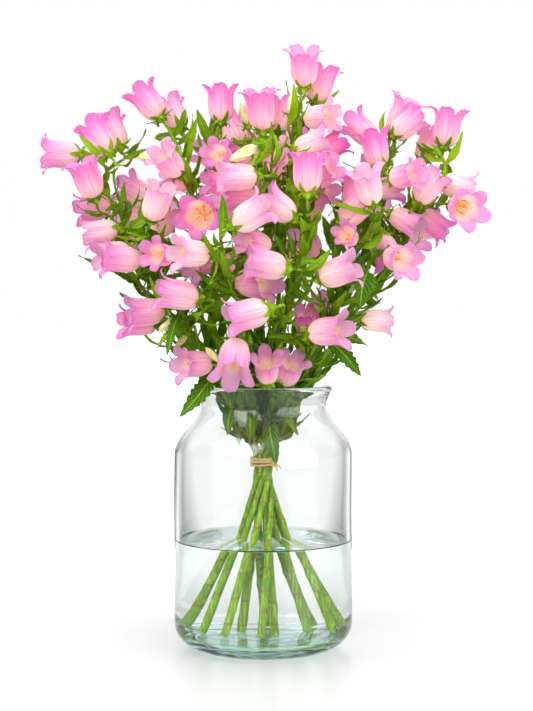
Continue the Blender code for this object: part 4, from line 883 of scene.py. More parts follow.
@dataclass(eq=False)
class Blade:
    """One leaf: its root, its run, the way its upper side faces, and its size and form."""

    stem: str
    root: Points
    direction: Points
    up: Points
    length: float
    width: float
    droop: float
    large: bool = False
    arched: bool = False

    def __post_init__(self) -> None:
        """Set the blade's own directions, and its points and half widths along the midrib."""
        self.across = unit(np.cross(self.direction, self.up))
        self.normal = np.cross(self.across, self.direction)
        count = 7 if self.large else 3
        places = np.arange(count + 1) / count
        self.rib = self.midrib(places)
        wave = np.where(np.arange(count + 1) % 2, 0.14, -0.14) * self.large
        self.half = self.half_width(places) * (1 + wave)
        self.rib[0] = self.root - self.direction * 1.2

    def midrib(self, places: Points) -> Points:
        """Give points on the midrib, at places from 0 at the root to 1 at the tip."""
        if self.arched:
            turn = 2 * self.droop
            along = np.sin(turn * places) / turn * self.length
            lift = -(1 - np.cos(turn * places)) / turn * self.length
        else:
            along = places * self.length
            lift = self.length * (0.12 * np.sin(np.pi * places) - self.droop * places ** 2)
        return self.root + np.outer(along, self.direction) + np.outer(lift, self.normal)

    def half_width(self, places: Points) -> Points:
        """Give half the leaf's width at places from 0 at the root to 1 at the tip."""
        swell = np.sin(np.pi * np.minimum(1, 0.06 + 0.94 * places ** 0.85))
        return self.width * 0.5 * np.maximum(swell, 0) ** 0.8

    def cloud(self) -> Points:
        """Give points over the blade for tests of clear space."""
        middles = [(run[1:] + run[:-1]) / 2 for run in (self.rib, self.half)]
        rows = []
        for ribs, halves in ((self.rib, self.half), middles):
            for rib, half in zip(ribs, halves):
                rows += [rib, rib + self.across * half, rib - self.across * half]
        return np.array(rows)


@dataclass
class ClearSpace:
    """Tells whether a leaf would touch a flower, another stem's wood or leaf, or the jar."""

    bunch: Bunch
    flower_room: float = 1.6
    glass_room: float = 3.5
    wood_room: float = 2.2
    spacing: float = 25.0
    far: float = 120.0
    leaves: list[Points] = field(default_factory=list)

    def __post_init__(self) -> None:
        """Keep the bunch's flowers and wood in a form that is quick to search."""
        self.feet, self.axes = axes_of(self.bunch.flowers)
        self.wood = []
        for strand in self.bunch.strands:
            points, radii, _ = strand.dense(8)
            self.wood += [(point, radius, strand.stem) for point, radius in zip(points, radii)]
        self.tree = tree_of([point for point, _, _ in self.wood])

    def clear_of_flowers(self, cloud: Points, room: float, body_only: bool = False) -> bool:
        """Say whether points lie clear of every flower by this room."""
        along, _, radius = beside(self.feet, self.axes, cloud)
        return not (reach_at(self.bunch.flowers, along, body_only) + room - radius > 0).any()

    @staticmethod
    def clear_of_glass(cloud: Points, room: float) -> bool:
        """Say whether points lie clear of the jar's wall by this room."""
        for point in cloud:
            off = abs(math.hypot(point[0], point[1]) - JAR.inside(point[2]) - JAR.glass / 2)
            if point[2] < JAR.lip_height + 6 and off < JAR.glass + room:
                return False
        return True

    def free(self, blade: Blade, root_room: float = 8.0) -> bool:
        """Say whether a leaf lies clear of all that it doesn't grow from.

        Args:
            blade: the leaf.
            root_room: how near its root it may touch the wood of other stems.

        Returns:
            Whether it does.
        """
        cloud = blade.cloud()
        if not (self.clear_of_flowers(cloud, self.flower_room)
                and self.clear_of_glass(cloud, self.glass_room)):
            return False
        for point in cloud:
            if math.dist(point, blade.rib[0]) > root_room:
                for _, n, distance in self.tree.find_range(point, 6.0):
                    _, radius, stem = self.wood[n]
                    if stem != blade.stem and distance < radius + self.wood_room:
                        return False
        return self.apart_from_leaves(cloud)

    def apart_from_leaves(self, cloud: Points) -> bool:
        """Say whether points lie well apart from every leaf that has its space."""
        near = (leaf for leaf in self.leaves if np.linalg.norm(leaf[0] - cloud[0]) < self.far)
        return all(np.linalg.norm(leaf[:, None] - cloud[None], axis=-1).min() >= self.spacing
                   for leaf in near)


@dataclass(frozen=True)
class Habit:
    """The ranges of leaves that grow by chance: lean in degrees, length, slimness and droop."""

    leans: Pair
    lengths: Pair
    slimness: Pair
    droops: Pair
    arched: bool = False

    def leaf(self, stem: str, place: Points, run: Points, draw: random.Random, scale: float = 1.0,
             upright: float = 1.0) -> Blade:
        """Grow one leaf.

        Args:
            stem: its stem's name.
            place: where it grows.
            run: the way of the wood there.
            draw: gives the chance.
            scale: a factor on its length.
            upright: a factor on its lean.

        Returns:
            The leaf.
        """
        side, other = frame_of(run, draw.uniform(0, FULL_TURN))
        lean = math.radians(draw.uniform(*self.leans) * upright)
        direction = unit(run * math.cos(lean) + side * math.sin(lean))
        length = draw.uniform(*self.lengths) * scale
        return Blade(stem, place, direction, np.cross(other, direction), length,
                     length * draw.uniform(*self.slimness), draw.uniform(*self.droops),
                     arched=self.arched)


@dataclass
class Foliage:
    """The leaves: the large ones, those of the solids, and the many small ones between them."""

    solid: Habit = Habit((35, 75), (30.0, 52.0), (0.22, 0.32), (0.0, 0.25))
    broad: Habit = Habit((28, 80), (20.0, 46.0), (0.27, 0.4), (0.1, 0.85), arched=True)
    narrow: Habit = Habit((28, 80), (20.0, 46.0), (0.16, 0.28), (0.1, 0.85), arched=True)
    tries: int = 9
    small_tries: int = 5
    shifts: tuple[float, ...] = (0, -8, 8, -16, 16, -26, 26, -38, 38)
    large_root_room: float = 14.0
    lowest: float = 196.0
    crowded_below: float = 262.0
    broad_below: float = 290.0
    sparse_above: float = 430.0
    stem_chance: float = 0.95
    stalk_chance: float = 0.5
    run_per_leaf: float = 4.0
    blades: list[Blade] = field(default_factory=list)

    def grow(self, bunch: Bunch) -> None:
        """Set leaves on the bunch's stems and stalks wherever there is room."""
        space = ClearSpace(bunch)
        for leaf in LARGE_LEAVES:
            shifted = (self.seated_leaf(leaf, bunch, shift) for shift in self.shifts)
            self.take(next((blade for blade in shifted
                            if space.free(blade, self.large_root_room)), None), space)
        for number, stem in enumerate(STEMS):
            draw = random.Random(100 + number)
            for place, run, scale in self.seats(stem, bunch):
                turns = (self.solid.leaf(stem.name, place, run, draw, scale)
                         for _ in range(self.tries))
                self.take(next((blade for blade in turns if space.free(blade)), None), space)
        solid = len(self.blades)
        for number, stem in enumerate(STEMS):
            self.fill(stem, bunch, space, random.Random(500 + number))
        self.blades += [self.seated_leaf(leaf, bunch, 0.0) for leaf in NECK_LEAVES]
        log.info("leaves: %d, of which %d are in the solids", len(self.blades), solid)

    def take(self, blade: Blade | None, space: ClearSpace) -> None:
        """Keep a leaf that found room, and its space for it."""
        if blade:
            space.leaves.append(blade.cloud())
            self.blades.append(blade)

    @staticmethod
    def seated_leaf(leaf: Leaf, bunch: Bunch, shift: float) -> Blade:
        """Lay a large leaf from the nearest point of its stem, moved in depth by a shift."""
        wood = np.vstack([s.dense(8)[0] for s in bunch.strands if s.stem == leaf.stem])
        root = EYE.point(*leaf.root[:2], leaf.root[2] + shift)
        tip = EYE.point(*leaf.tip[:2], leaf.tip[2] + shift * 1.3)
        seat = wood[np.linalg.norm(wood - root, axis=1).argmin()]
        return Blade(leaf.stem, seat, unit(tip - seat), unit(np.array([0, -1.0, 0.5])),
                     np.linalg.norm(tip - seat), leaf.width, 0.0, large=True)

    @staticmethod
    def seats(stem: Stem, bunch: Bunch) -> list[tuple[Points, Points, float]]:
        """Give the places on a stem and its stalks where a leaf of the solids may grow."""
        own = [s for s in bunch.strands if s.stem == stem.name]
        seats = []
        for strand in own[1:]:
            points = strand.points
            seats += [(strand.parent.points[strand.root], unit(points[1] - points[0]), 0.8),
                      (points[len(points) // 2], unit(points[-1] - points[0]), 0.6)]
        main = own[0].points
        for k in range(len(bunch.levels) - 2, len(main)):
            run = unit(main[k] - main[k - 1])
            seats += [(main[k], run, 1.0), (main[k] * 0.5 + main[k - 1] * 0.5, run, 1.0)]
        return seats

    def fill(self, stem: Stem, bunch: Bunch, space: ClearSpace, draw: random.Random) -> None:
        """Set the small leaves of a stem, close together low in the bunch and sparser above."""
        for strand in (s for s in bunch.strands if s.stem == stem.name):
            points, _, _ = strand.dense(6)
            for low, high in zip(points, points[1:]):
                if strand.parent is None and low[2] < self.lowest:
                    continue
                often = self.stem_chance if strand.parent is None else self.stalk_chance
                if low[2] > self.sparse_above:
                    often *= 0.6
                if draw.random() < often * np.linalg.norm(high - low) / self.run_per_leaf:
                    self.small_leaf(stem.name, low, unit(high - low), draw, space)

    def small_leaf(self, stem: str, place: Points, run: Points, draw: random.Random,
                   space: ClearSpace) -> None:
        """Set one small leaf at a place, where it meets no flower and not the jar."""
        habit = self.broad if place[2] < self.broad_below else self.narrow
        upright = 0.6 if place[2] < self.crowded_below else 1.0
        for _ in range(self.small_tries):
            blade = habit.leaf(stem, place, run, draw, upright=upright)
            cloud = blade.cloud()[3:]
            if space.clear_of_flowers(cloud, 0.4, True) and space.clear_of_glass(cloud, 1.0):
                self.blades.append(blade)
                return


def colour(red: float, green: float, blue: float) -> Rgba:
    """Turn a screen colour, by its 0 to 255 values, into the linear one that shaders take."""
    parts = [c / 255 for c in (red, green, blue)]
    return (*[c / 12.92 if c <= 0.04045 else ((c + 0.055) / 1.055) ** 2.4 for c in parts], 1.0)


def grey(tone: float) -> Rgba:
    """Give a linear grey."""
    return (tone, tone, tone, 1.0)


def run_of(*stops: tuple[float, float, float, float]) -> Tones:
    """Give a run of screen colours, each stop as its place and its three values."""
    return tuple((place, colour(*tone)) for place, *tone in stops)


WHITE = grey(1.0)


class Nodes:
    """A node tree under way, with short ways to add nodes to it."""

    def __init__(self, tree: bpy.types.NodeTree) -> None:
        """Take the tree."""
        self.tree = tree

    def add(self, kind: str, *given: object, **settings: object) -> bpy.types.Node:
        """Add a node, with its first inputs given as numbers or as outputs of other nodes."""
        node = self.tree.nodes.new("ShaderNode" + kind)
        for name, value in settings.items():
            setattr(node, name, value)
        for socket, value in zip(node.inputs, given):
            self.feed(socket, value)
        return node

    def feed(self, socket: Socket, value: object) -> None:
        """Give a socket a number, or link an output to it."""
        if isinstance(value, Socket):
            self.tree.links.new(value, socket)
        elif value is not None:
            socket.default_value = value

    def math(self, operation: str, *given: object) -> Socket:
        """Add a sum of one to three numbers and give its result."""
        return self.add("Math", *given, operation=operation).outputs[0]

    def times(self, one: object, other: object) -> Socket:
        """Multiply two numbers."""
        return self.math("MULTIPLY", one, other)

    def scaled(self, value: object, factor: float, more: object) -> Socket:
        """Multiply a number by a factor and add another to it."""
        return self.math("MULTIPLY_ADD", value, factor, more)

    def ramp(self, fac: Socket, *stops: tuple[float, Rgba]) -> Socket:
        """Add a run of colours over a number from 0 to 1 and give its colour."""
        node = self.add("ValToRGB", fac)
        band = node.color_ramp
        while len(band.elements) < len(stops):
            band.elements.new(0.5)
        for element, (place, tone) in zip(band.elements, stops):
            element.position = place
            element.color = tone
        return node.outputs[0]

    def tones(self, fac: Socket, *stops: Pair) -> Socket:
        """Add a run of greys over a number from 0 to 1."""
        return self.ramp(fac, *[(place, grey(tone)) for place, tone in stops])

    def mix(self, fac: object, one: object, other: object, blend: str = "MIX") -> Socket:
        """Mix two colours and give the result."""
        node = self.add("Mix", data_type="RGBA", blend_type=blend)
        for number, value in ((0, fac), (6, one), (7, other)):
            self.feed(node.inputs[number], value)
        return node.outputs[2]

    def shaded(self, one: object, other: object) -> Socket:
        """Multiply two colours."""
        return self.mix(1.0, one, other, "MULTIPLY")

    def grain(self, scale: float, detail: float = 3.0, where: Socket | None = None) -> Socket:
        """Add noise over the object's own coordinates, or over others, and give its number."""
        if where is None:
            where = self.add("TexCoord").outputs["Object"]
        node = self.add("TexNoise", where)
        node.inputs["Scale"].default_value = scale
        node.inputs["Detail"].default_value = detail
        return node.outputs[0]

    def place(self) -> list[Socket]:
        """Give the object's own three coordinates, in metres."""
        return list(self.add("SeparateXYZ", self.add("TexCoord").outputs["Object"]).outputs)

    def away(self) -> Socket:
        """Read how far a point lies from the piece's own Z axis, in metres."""
        right, back, _ = self.place()
        return self.math("SQRT", self.math("ADD", self.times(right, right),
                                           self.times(back, back)))

    def own_value(self, name: str) -> Socket:
        """Give a number that the mesh itself carries."""
        return self.add("Attribute", attribute_name=name).outputs["Fac"]

    def own_map(self) -> tuple[Socket, Socket]:
        """Give the two coordinates of the mesh's own map."""
        parts = self.add("SeparateXYZ", self.add("UVMap", uv_map="UVMap").outputs[0])
        return parts.outputs[0], parts.outputs[1]

    def seen(self) -> Socket:
        """Tell the eye's own rays from those that surfaces bend or mirror."""
        return self.add("LightPath").outputs["Is Camera Ray"]


class Sheet(Nodes):
    """A material under way, with its shader."""

    def __init__(self, name: str, **numbers: float | tuple) -> None:
        """Start a material whose shader's sockets get plain numbers and colours.

        Args:
            name: the material's name.
            numbers: values by the shader's socket names, with _ for a space.
        """
        self.material = bpy.data.materials.new(name)
        self.material.use_nodes = True
        super().__init__(self.material.node_tree)
        self.shader = self.tree.nodes["Principled BSDF"]
        for socket, value in numbers.items():
            self.give(socket.replace("_", " ").replace("ior", "IOR"), value)

    def give(self, socket: str, value: object) -> None:
        """Give one of the shader's sockets a number or a colour, or link an output to it."""
        self.feed(self.shader.inputs[socket], value)

    def drink(self, tinge: Rgba, depth: float) -> None:
        """Let the body take up a little light on its way through."""
        volume = self.add("VolumeAbsorption", tinge, depth).outputs[0]
        self.feed(self.tree.nodes["Material Output"].inputs["Volume"], volume)

    def bump(self, height: Socket, strength: float, distance_mm: float) -> None:
        """Raise the surface by a pattern."""
        node = self.add("Bump")
        node.inputs["Strength"].default_value = strength
        node.inputs["Distance"].default_value = distance_mm * METRES
        self.feed(node.inputs["Height"], height)
        self.give("Normal", node.outputs[0])


@dataclass(frozen=True)
class ClearGlass:
    """Clear blown glass with a green-teal tinge where it is deep, and painted teal rings in the
    foot that stand in for the rings of bent light seen through its rippled underside.
    """

    tinge: Rgba = (0.45, 0.76, 0.7, 1.0)
    depth: float = 9.0
    plain: Rgba = (0.938, 0.941, 0.939, 1.0)
    # painted light: the teal of the rings painted into the foot
    ring: Rgba = (0.2, 0.6, 0.52, 1.0)
    painted_rings_below: float = 0.0165
    painted_rings_within: float = 0.076

    def make(self) -> Material:
        """Make the material."""
        sheet = Sheet("clear_glass", Roughness=0.0, ior=1.47, Transmission_Weight=1.0)
        sheet.drink(self.tinge, self.depth)
        away = sheet.away()
        swing = sheet.scaled(sheet.grain(24.0, 1.0), 7.0, sheet.times(away, 560.0))
        # painted rings of bent light: teal and clear by turns, low in the foot and near its middle
        ring = sheet.ramp(sheet.scaled(sheet.math("SINE", swing), 0.5, 0.5),
                          (0.0, self.ring), (0.45, WHITE))
        low = sheet.times(sheet.math("LESS_THAN", sheet.place()[2], self.painted_rings_below),
                          sheet.math("LESS_THAN", away, self.painted_rings_within))
        sheet.give("Base Color", sheet.mix(low, self.plain, ring))
        sheet.bump(sheet.grain(16.0, 1.0), 0.12, 1.5)
        return sheet.material


@dataclass(frozen=True)
class StillWater:
    """Clear water."""

    tinge: Rgba = (0.5, 0.78, 0.72, 1.0)
    depth: float = 0.6

    def make(self) -> Material:
        """Make the material."""
        sheet = Sheet("water", Base_Color=(0.992, 0.999, 0.997, 1.0), Roughness=0.0,
                      ior=1.333, Transmission_Weight=1.0)
        sheet.drink(self.tinge, self.depth)
        sheet.bump(sheet.grain(30.0, 1.0), 0.05, 1.0)
        return sheet.material


@dataclass(frozen=True)
class PetalFinish:
    """A petal's finish along the bell, from its foot to its lobes, pale and deep flowers apart.

    The mesh says how deep each flower's pink is, from 0 to 1, in its own value "tint".
    """

    name: str
    pale: Tones
    deep: Tones
    streak: Rgba
    streaks: float = 0.35
    # painted light: how strongly the petal's colour glows low in the bell, standing in for light
    # shining through the thin petals
    glow: float = 0.0

    def make(self) -> Material:
        """Make the material."""
        sheet = Sheet(self.name, Roughness=0.6, Subsurface_Weight=0.85, Subsurface_Scale=0.004,
                      Subsurface_Radius=(1.0, 0.72, 0.95), Specular_IOR_Level=0.15)
        around, along = sheet.own_map()
        tint = sheet.own_value("tint")
        body = sheet.mix(sheet.math("POWER", tint, 0.7), sheet.ramp(along, *self.pale),
                         sheet.ramp(along, *self.deep))
        turn = sheet.times(around, FULL_TURN)
        vein = self.vein(sheet, turn, along, tint)
        lines = sheet.tones(vein, (0.42, 0.0), (0.68, 1.0))
        rib = sheet.math("COSINE", sheet.times(turn, 5.0))
        rib = sheet.math("POWER", sheet.scaled(rib, 0.5, 0.5), 26.0)
        marks = sheet.math("MAXIMUM", lines, sheet.times(rib, 0.4))
        body = sheet.mix(sheet.times(marks, self.streaks), body, self.streak, "MULTIPLY")
        sheet.give("Base Color", body)
        # painted light: the colour glows from the bell's foot, fading out by 0.8 of the way to the
        # lobe tips
        sheet.give("Emission Color", body)
        sheet.give("Emission Strength", sheet.tones(along, (0.0, self.glow), (0.8, 0.0)))
        sheet.bump(vein, 0.6, 0.45)
        return sheet.material

    @staticmethod
    def vein(sheet: Sheet, turn: Socket, along: Socket, tint: Socket) -> Socket:
        """Give noise that is drawn out along the bell, and differs with its tint."""
        shift = sheet.times(tint, 57.0)
        up = sheet.math("ADD", sheet.times(along, 1.6), shift)
        ways = [sheet.times(sheet.math(wave, turn), 9.0) for wave in ("COSINE", "SINE")]
        return sheet.grain(1.0, 3.0, sheet.add("CombineXYZ", *ways, up).outputs[0])


PETAL_OUTSIDE = PetalFinish(
    "petal_outside",
    pale=run_of((0.0, 238, 242, 206), (0.14, 255, 250, 238), (0.5, 255, 241, 243),
                (0.74, 253, 210, 232), (1.0, 248, 166, 214)),
    deep=run_of((0.0, 250, 234, 228), (0.24, 252, 206, 230), (0.52, 246, 136, 208),
                (0.75, 238, 94, 192), (1.0, 222, 56, 164)),
    streak=colour(236, 148, 200), streaks=0.6)
PETAL_INSIDE = PetalFinish(
    "petal_inside",
    pale=run_of((0.0, 255, 236, 190), (0.35, 255, 242, 226), (0.6, 255, 236, 232),
                (0.75, 254, 208, 228), (1.0, 252, 176, 216)),
    deep=run_of((0.0, 255, 222, 160), (0.35, 255, 230, 208), (0.58, 252, 196, 220),
                (0.72, 245, 126, 200), (1.0, 234, 84, 180)),
    # painted glow inside the bells, standing in for light through the petals
    streak=colour(246, 176, 212), streaks=0.25, glow=0.3)


@dataclass(frozen=True)
class GreenFinish:
    """A leaf, sepal or stem: its two greens, light and dark, and its midrib or joints."""

    name: str
    light: Rgba
    dark: Rgba
    rib: Rgba
    # painted highlight: the pale colour of the light lines along a stem
    highlight_streak: Rgba = colour(206, 226, 110)
    mapped: bool = True

    def make(self) -> Material:
        """Make the material."""
        sheet = Sheet(self.name, Roughness=0.45, Subsurface_Weight=0.15, Subsurface_Scale=0.0015,
                      Subsurface_Radius=(0.6, 1.0, 0.2), Specular_IOR_Level=0.12)
        blotch = sheet.grain(90.0, 2.0)
        tone = sheet.math("ADD", sheet.own_value("tint"), sheet.scaled(blotch, 0.5, -0.25))
        body = sheet.ramp(tone, (0.0, self.dark), (1.0, self.light))
        fine = sheet.grain(900.0, 2.0)
        body, fine = (self.veined if self.mapped else self.jointed)(sheet, body, fine)
        sheet.give("Base Color", body)
        sheet.bump(fine, 0.3, 0.2)
        return sheet.material

    def veined(self, sheet: Sheet, body: Socket, fine: Socket) -> tuple[Socket, Socket]:
        """Draw a midrib and side veins over a leaf's colour and height."""
        across, along = sheet.own_map()
        off = sheet.math("ABSOLUTE", sheet.math("SUBTRACT", across, 0.5))
        rib = sheet.math("LESS_THAN", off, 0.045)
        side = sheet.math("PINGPONG", sheet.scaled(off, -9.0, sheet.times(along, 16.0)), 1.0)
        vein = sheet.times(sheet.math("LESS_THAN", side, 0.16), 0.35)
        body = sheet.mix(sheet.math("MAXIMUM", sheet.times(rib, 0.5), vein), body, self.rib)
        return body, sheet.math("SUBTRACT", fine, sheet.times(rib, 1.5))

    def jointed(self, sheet: Sheet, body: Socket, fine: Socket) -> tuple[Socket, Socket]:
        """Draw lines along a stem and brown joints across it over its colour and height: dark
        lines, the stem's own streaks made deeper to stand in for its shading, and pale painted
        highlight lines.
        """
        level = sheet.scaled(sheet.own_value("tint"), 90.0, sheet.times(sheet.place()[2], 46.0))
        level = sheet.scaled(sheet.grain(60.0, 0.0), 0.5, level)
        joint = sheet.math("LESS_THAN", sheet.math("FRACT", level), 0.085)
        drawn = [sheet.times(way, factor)
                 for way, factor in zip(sheet.place(), (700.0, 700.0, 26.0))]
        grain = sheet.grain(1.0, 2.0, sheet.add("CombineXYZ", *drawn).outputs[0])
        # dark lines: the stem's own streaks, made deeper as partly painted shade
        dark = sheet.tones(grain, (0.42, 0.0), (0.62, 1.0))
        body = sheet.mix(sheet.times(dark, 0.8), body, self.light, "MULTIPLY")
        # painted highlights: pale lines along the stem
        pale = sheet.tones(grain, (0.3, 1.0), (0.44, 0.0))
        body = sheet.mix(sheet.times(pale, 0.5), body, self.highlight_streak)
        body = sheet.mix(sheet.times(joint, 0.8), body, self.rib)
        return body, sheet.math("ADD", fine, joint)


LEAF_FINISH = GreenFinish("leaf", colour(140, 182, 14), colour(56, 104, 2), colour(176, 206, 60))
CALYX_FINISH = GreenFinish("calyx", colour(158, 196, 20), colour(82, 130, 4), colour(176, 208, 60))
STEM_FINISH = GreenFinish("stem", colour(156, 192, 8), colour(84, 132, 2), colour(132, 112, 44),
                          mapped=False)


@dataclass(frozen=True)
class PlainGrain:
    """A plain colour with fine speckle, for the small parts."""

    name: str
    light: Rgba
    dark: Rgba
    scale: float = 400.0
    roughness: float = 0.6
    bump_mm: float = 0.15

    def make(self) -> Material:
        """Make the material."""
        sheet = Sheet(self.name, Roughness=self.roughness)
        grain = sheet.grain(self.scale, 4.0)
        sheet.give("Base Color", sheet.ramp(grain, (0.3, self.dark), (0.7, self.light)))
        sheet.bump(grain, 0.5, self.bump_mm)
        return sheet.material


STYLE_FINISH = PlainGrain("style", colour(250, 226, 110), colour(240, 190, 60))
ANTHER_FINISH = PlainGrain("anther", colour(250, 190, 80), colour(216, 138, 50))
BUD_FINISH = PlainGrain("bud", colour(248, 240, 190), colour(216, 214, 110), 120.0)
CUT_FINISH = PlainGrain("cut_end", colour(226, 222, 170), colour(186, 190, 120), 700.0)
TWINE_FINISH = PlainGrain("jute_twine", colour(250, 224, 158), colour(186, 146, 80), 1500.0, 0.9,
                          bump_mm=0.3)

PATTERNS: dict[str, "Pattern"] = {}
MATERIALS: dict[str, Material] = {}


class Bench:
    """Blender's own modelling tools, each used on one piece at a time."""

    @staticmethod
    def clear() -> None:
        """Deselect everything."""
        if bpy.context.object and bpy.context.object.mode != "OBJECT":
            bpy.ops.object.mode_set(mode="OBJECT")
        bpy.ops.object.select_all(action="DESELECT")

    @staticmethod
    def pick(thing: Thing) -> None:
        """Select one piece and make it the active one."""
        Bench.clear()
        thing.select_set(True)
        bpy.context.view_layer.objects.active = thing

    @staticmethod
    def place(name: str, data: bpy.types.ID) -> Thing:
        """Put data in the scene under a name."""
        thing = bpy.data.objects.new(name, data)
        bpy.context.scene.collection.objects.link(thing)
        return thing

    @staticmethod
    def paint(thing: Thing, *finishes: PetalFinish | GreenFinish | PlainGrain) -> None:
        """Give a piece slots for finishes."""
        for finish in finishes:
            thing.data.materials.append(MATERIALS[finish.name])

    @staticmethod
    def grid(name: str, across: int, along: int) -> Thing:
        """Add a flat grid of so many squares, with its own map."""
        Bench.clear()
        bpy.ops.mesh.primitive_grid_add(x_subdivisions=across, y_subdivisions=along, size=1.0)
        bpy.context.object.name = name
        return bpy.context.object

    @staticmethod
    def join(things: Sequence[Thing], name: str) -> Thing:
        """Make several pieces one, under a name."""
        Bench.pick(things[0])
        for thing in things[1:]:
            thing.select_set(True)
        if len(things) > 1:
            bpy.ops.object.join()
        whole = bpy.context.object
        whole.name = name
        whole.data.name = name
        return whole

    @staticmethod
    def edit() -> None:
        """Open the active piece for editing, with all of it selected."""
        bpy.ops.object.mode_set(mode="EDIT")
        bpy.ops.mesh.select_all(action="SELECT")

    @staticmethod
    def weld(thing: Thing, millimetres: float = 0.001) -> None:
        """Merge the points of a piece that lie on each other."""
        Bench.pick(thing)
        Bench.edit()
        bpy.ops.mesh.remove_doubles(threshold=millimetres * METRES)
        bpy.ops.object.mode_set(mode="OBJECT")

    @staticmethod
    def thicken(thing: Thing, millimetres: float, offset: float, inner: int = 0) -> None:
        """Give a piece made of sheets its thickness."""
        wall = thing.modifiers.new("wall", "SOLIDIFY")
        wall.thickness = millimetres * METRES
        wall.offset = offset
        wall.material_offset = inner
        Bench.pick(thing)
        bpy.ops.object.modifier_apply(modifier=wall.name)

    @staticmethod
    def smooth(thing: Thing, degrees: float = 50.0) -> None:
        """Shade a piece smooth, but for its sharp edges."""
        Bench.pick(thing)
        bpy.ops.object.shade_smooth_by_angle(angle=math.radians(degrees))

    @staticmethod
    def tubes(name: str, runs: Sequence[tuple[Points, Points]], sides: int) -> Thing:
        """Make round tubes along runs of points.

        Args:
            name: the piece's name.
            runs: points and radii in millimetres, for each tube.
            sides: a half of the sides round a tube, less two.

        Returns:
            One mesh piece.
        """
        curve = bpy.data.curves.new(name, "CURVE")
        curve.dimensions = "3D"
        curve.bevel_depth = METRES
        curve.bevel_resolution = sides
        curve.use_fill_caps = True
        for points, radii in runs:
            spline = curve.splines.new("POLY")
            spline.points.add(len(points) - 1)
            rows = np.column_stack([np.asarray(points) * METRES, np.ones(len(points))])
            spline.points.foreach_set("co", rows.ravel())
            spline.points.foreach_set("radius", np.asarray(radii, float))
        Bench.pick(Bench.place(name, curve))
        bpy.ops.object.convert(target="MESH")
        return bpy.context.object

    @staticmethod
    def spin(name: str, outline: Sequence[Pair], steps: int) -> Thing:
        """Spin an outline of (radius, height) about Z into a closed smooth piece.

        Args:
            name: the piece's name.
            outline: the outline in millimetres, whose ends lie on the axis.
            steps: how many steps make the full turn.

        Returns:
            The piece.
        """
        Bench.clear()
        bpy.ops.mesh.primitive_plane_add(size=0.01)
        piece = bpy.context.object
        piece.name = name
        Bench.edit()
        bpy.ops.mesh.merge(type="CENTER")
        for k, (radius, height) in enumerate(outline):
            if k:
                bpy.ops.mesh.extrude_vertices_move()
            bpy.ops.object.mode_set(mode="OBJECT")
            piece.data.vertices[k].co = (radius * METRES, 0, height * METRES)
            bpy.ops.object.mode_set(mode="EDIT")
        bpy.ops.mesh.select_all(action="SELECT")
        bpy.ops.mesh.spin(steps=steps, angle=FULL_TURN, center=(0, 0, 0), axis=(0, 0, 1))
        bpy.ops.mesh.select_all(action="SELECT")
        bpy.ops.mesh.remove_doubles(threshold=0.005 * METRES)
        bpy.ops.mesh.normals_make_consistent(inside=False)
        bpy.ops.object.mode_set(mode="OBJECT")
        Bench.smooth(piece, 60)
        return piece


def read_points(mesh: bpy.types.Mesh) -> Points:
    """Read a mesh's points in metres."""
    points = np.zeros(len(mesh.vertices) * 3, np.float32)
    mesh.vertices.foreach_get("co", points)
    return points.reshape(-1, 3).astype(float)


def write_points(mesh: bpy.types.Mesh, points: Points) -> None:
    """Give a mesh's points their places in millimetres."""
    mesh.vertices.foreach_set("co", (np.asarray(points) * METRES).ravel())
    mesh.update()


def mark(mesh: bpy.types.Mesh, tint: float) -> None:
    """Give a mesh the number that its finish reads."""
    values = mesh.attributes.get("tint") or mesh.attributes.new("tint", "FLOAT", "POINT")
    values.data.foreach_set("value", np.full(len(mesh.vertices), tint, np.float32))


class Pattern:
    """A shape that is modelled once and copied, each copy with its own mesh."""

    def __init__(self, master: Thing) -> None:
        """Take a piece as the pattern, and put it out of the scene."""
        self.mesh = master.data
        self.points = read_points(self.mesh)
        bpy.data.objects.remove(master)

    @property
    def across(self) -> Points:
        """Places across a flat grid, from 0 to 1."""
        return self.points[:, 0] + 0.5

    @property
    def along(self) -> Points:
        """Places along a flat grid, from 0 to 1."""
        return self.points[:, 1] + 0.5

    @property
    def turn(self) -> Points:
        """Places round a grid that is rolled up, in radians."""
        return self.across * FULL_TURN

    def copy(self, name: str, points: Points, tint: float = 0.5) -> Thing:
        """Copy the pattern.

        Args:
            name: the copy's name.
            points: the copy's points, in millimetres.
            tint: the number that its finish reads.

        Returns:
            The copy.
        """
        mesh = self.mesh.copy()
        mark(mesh, tint)
        write_points(mesh, points)
        return Bench.place(name, mesh)


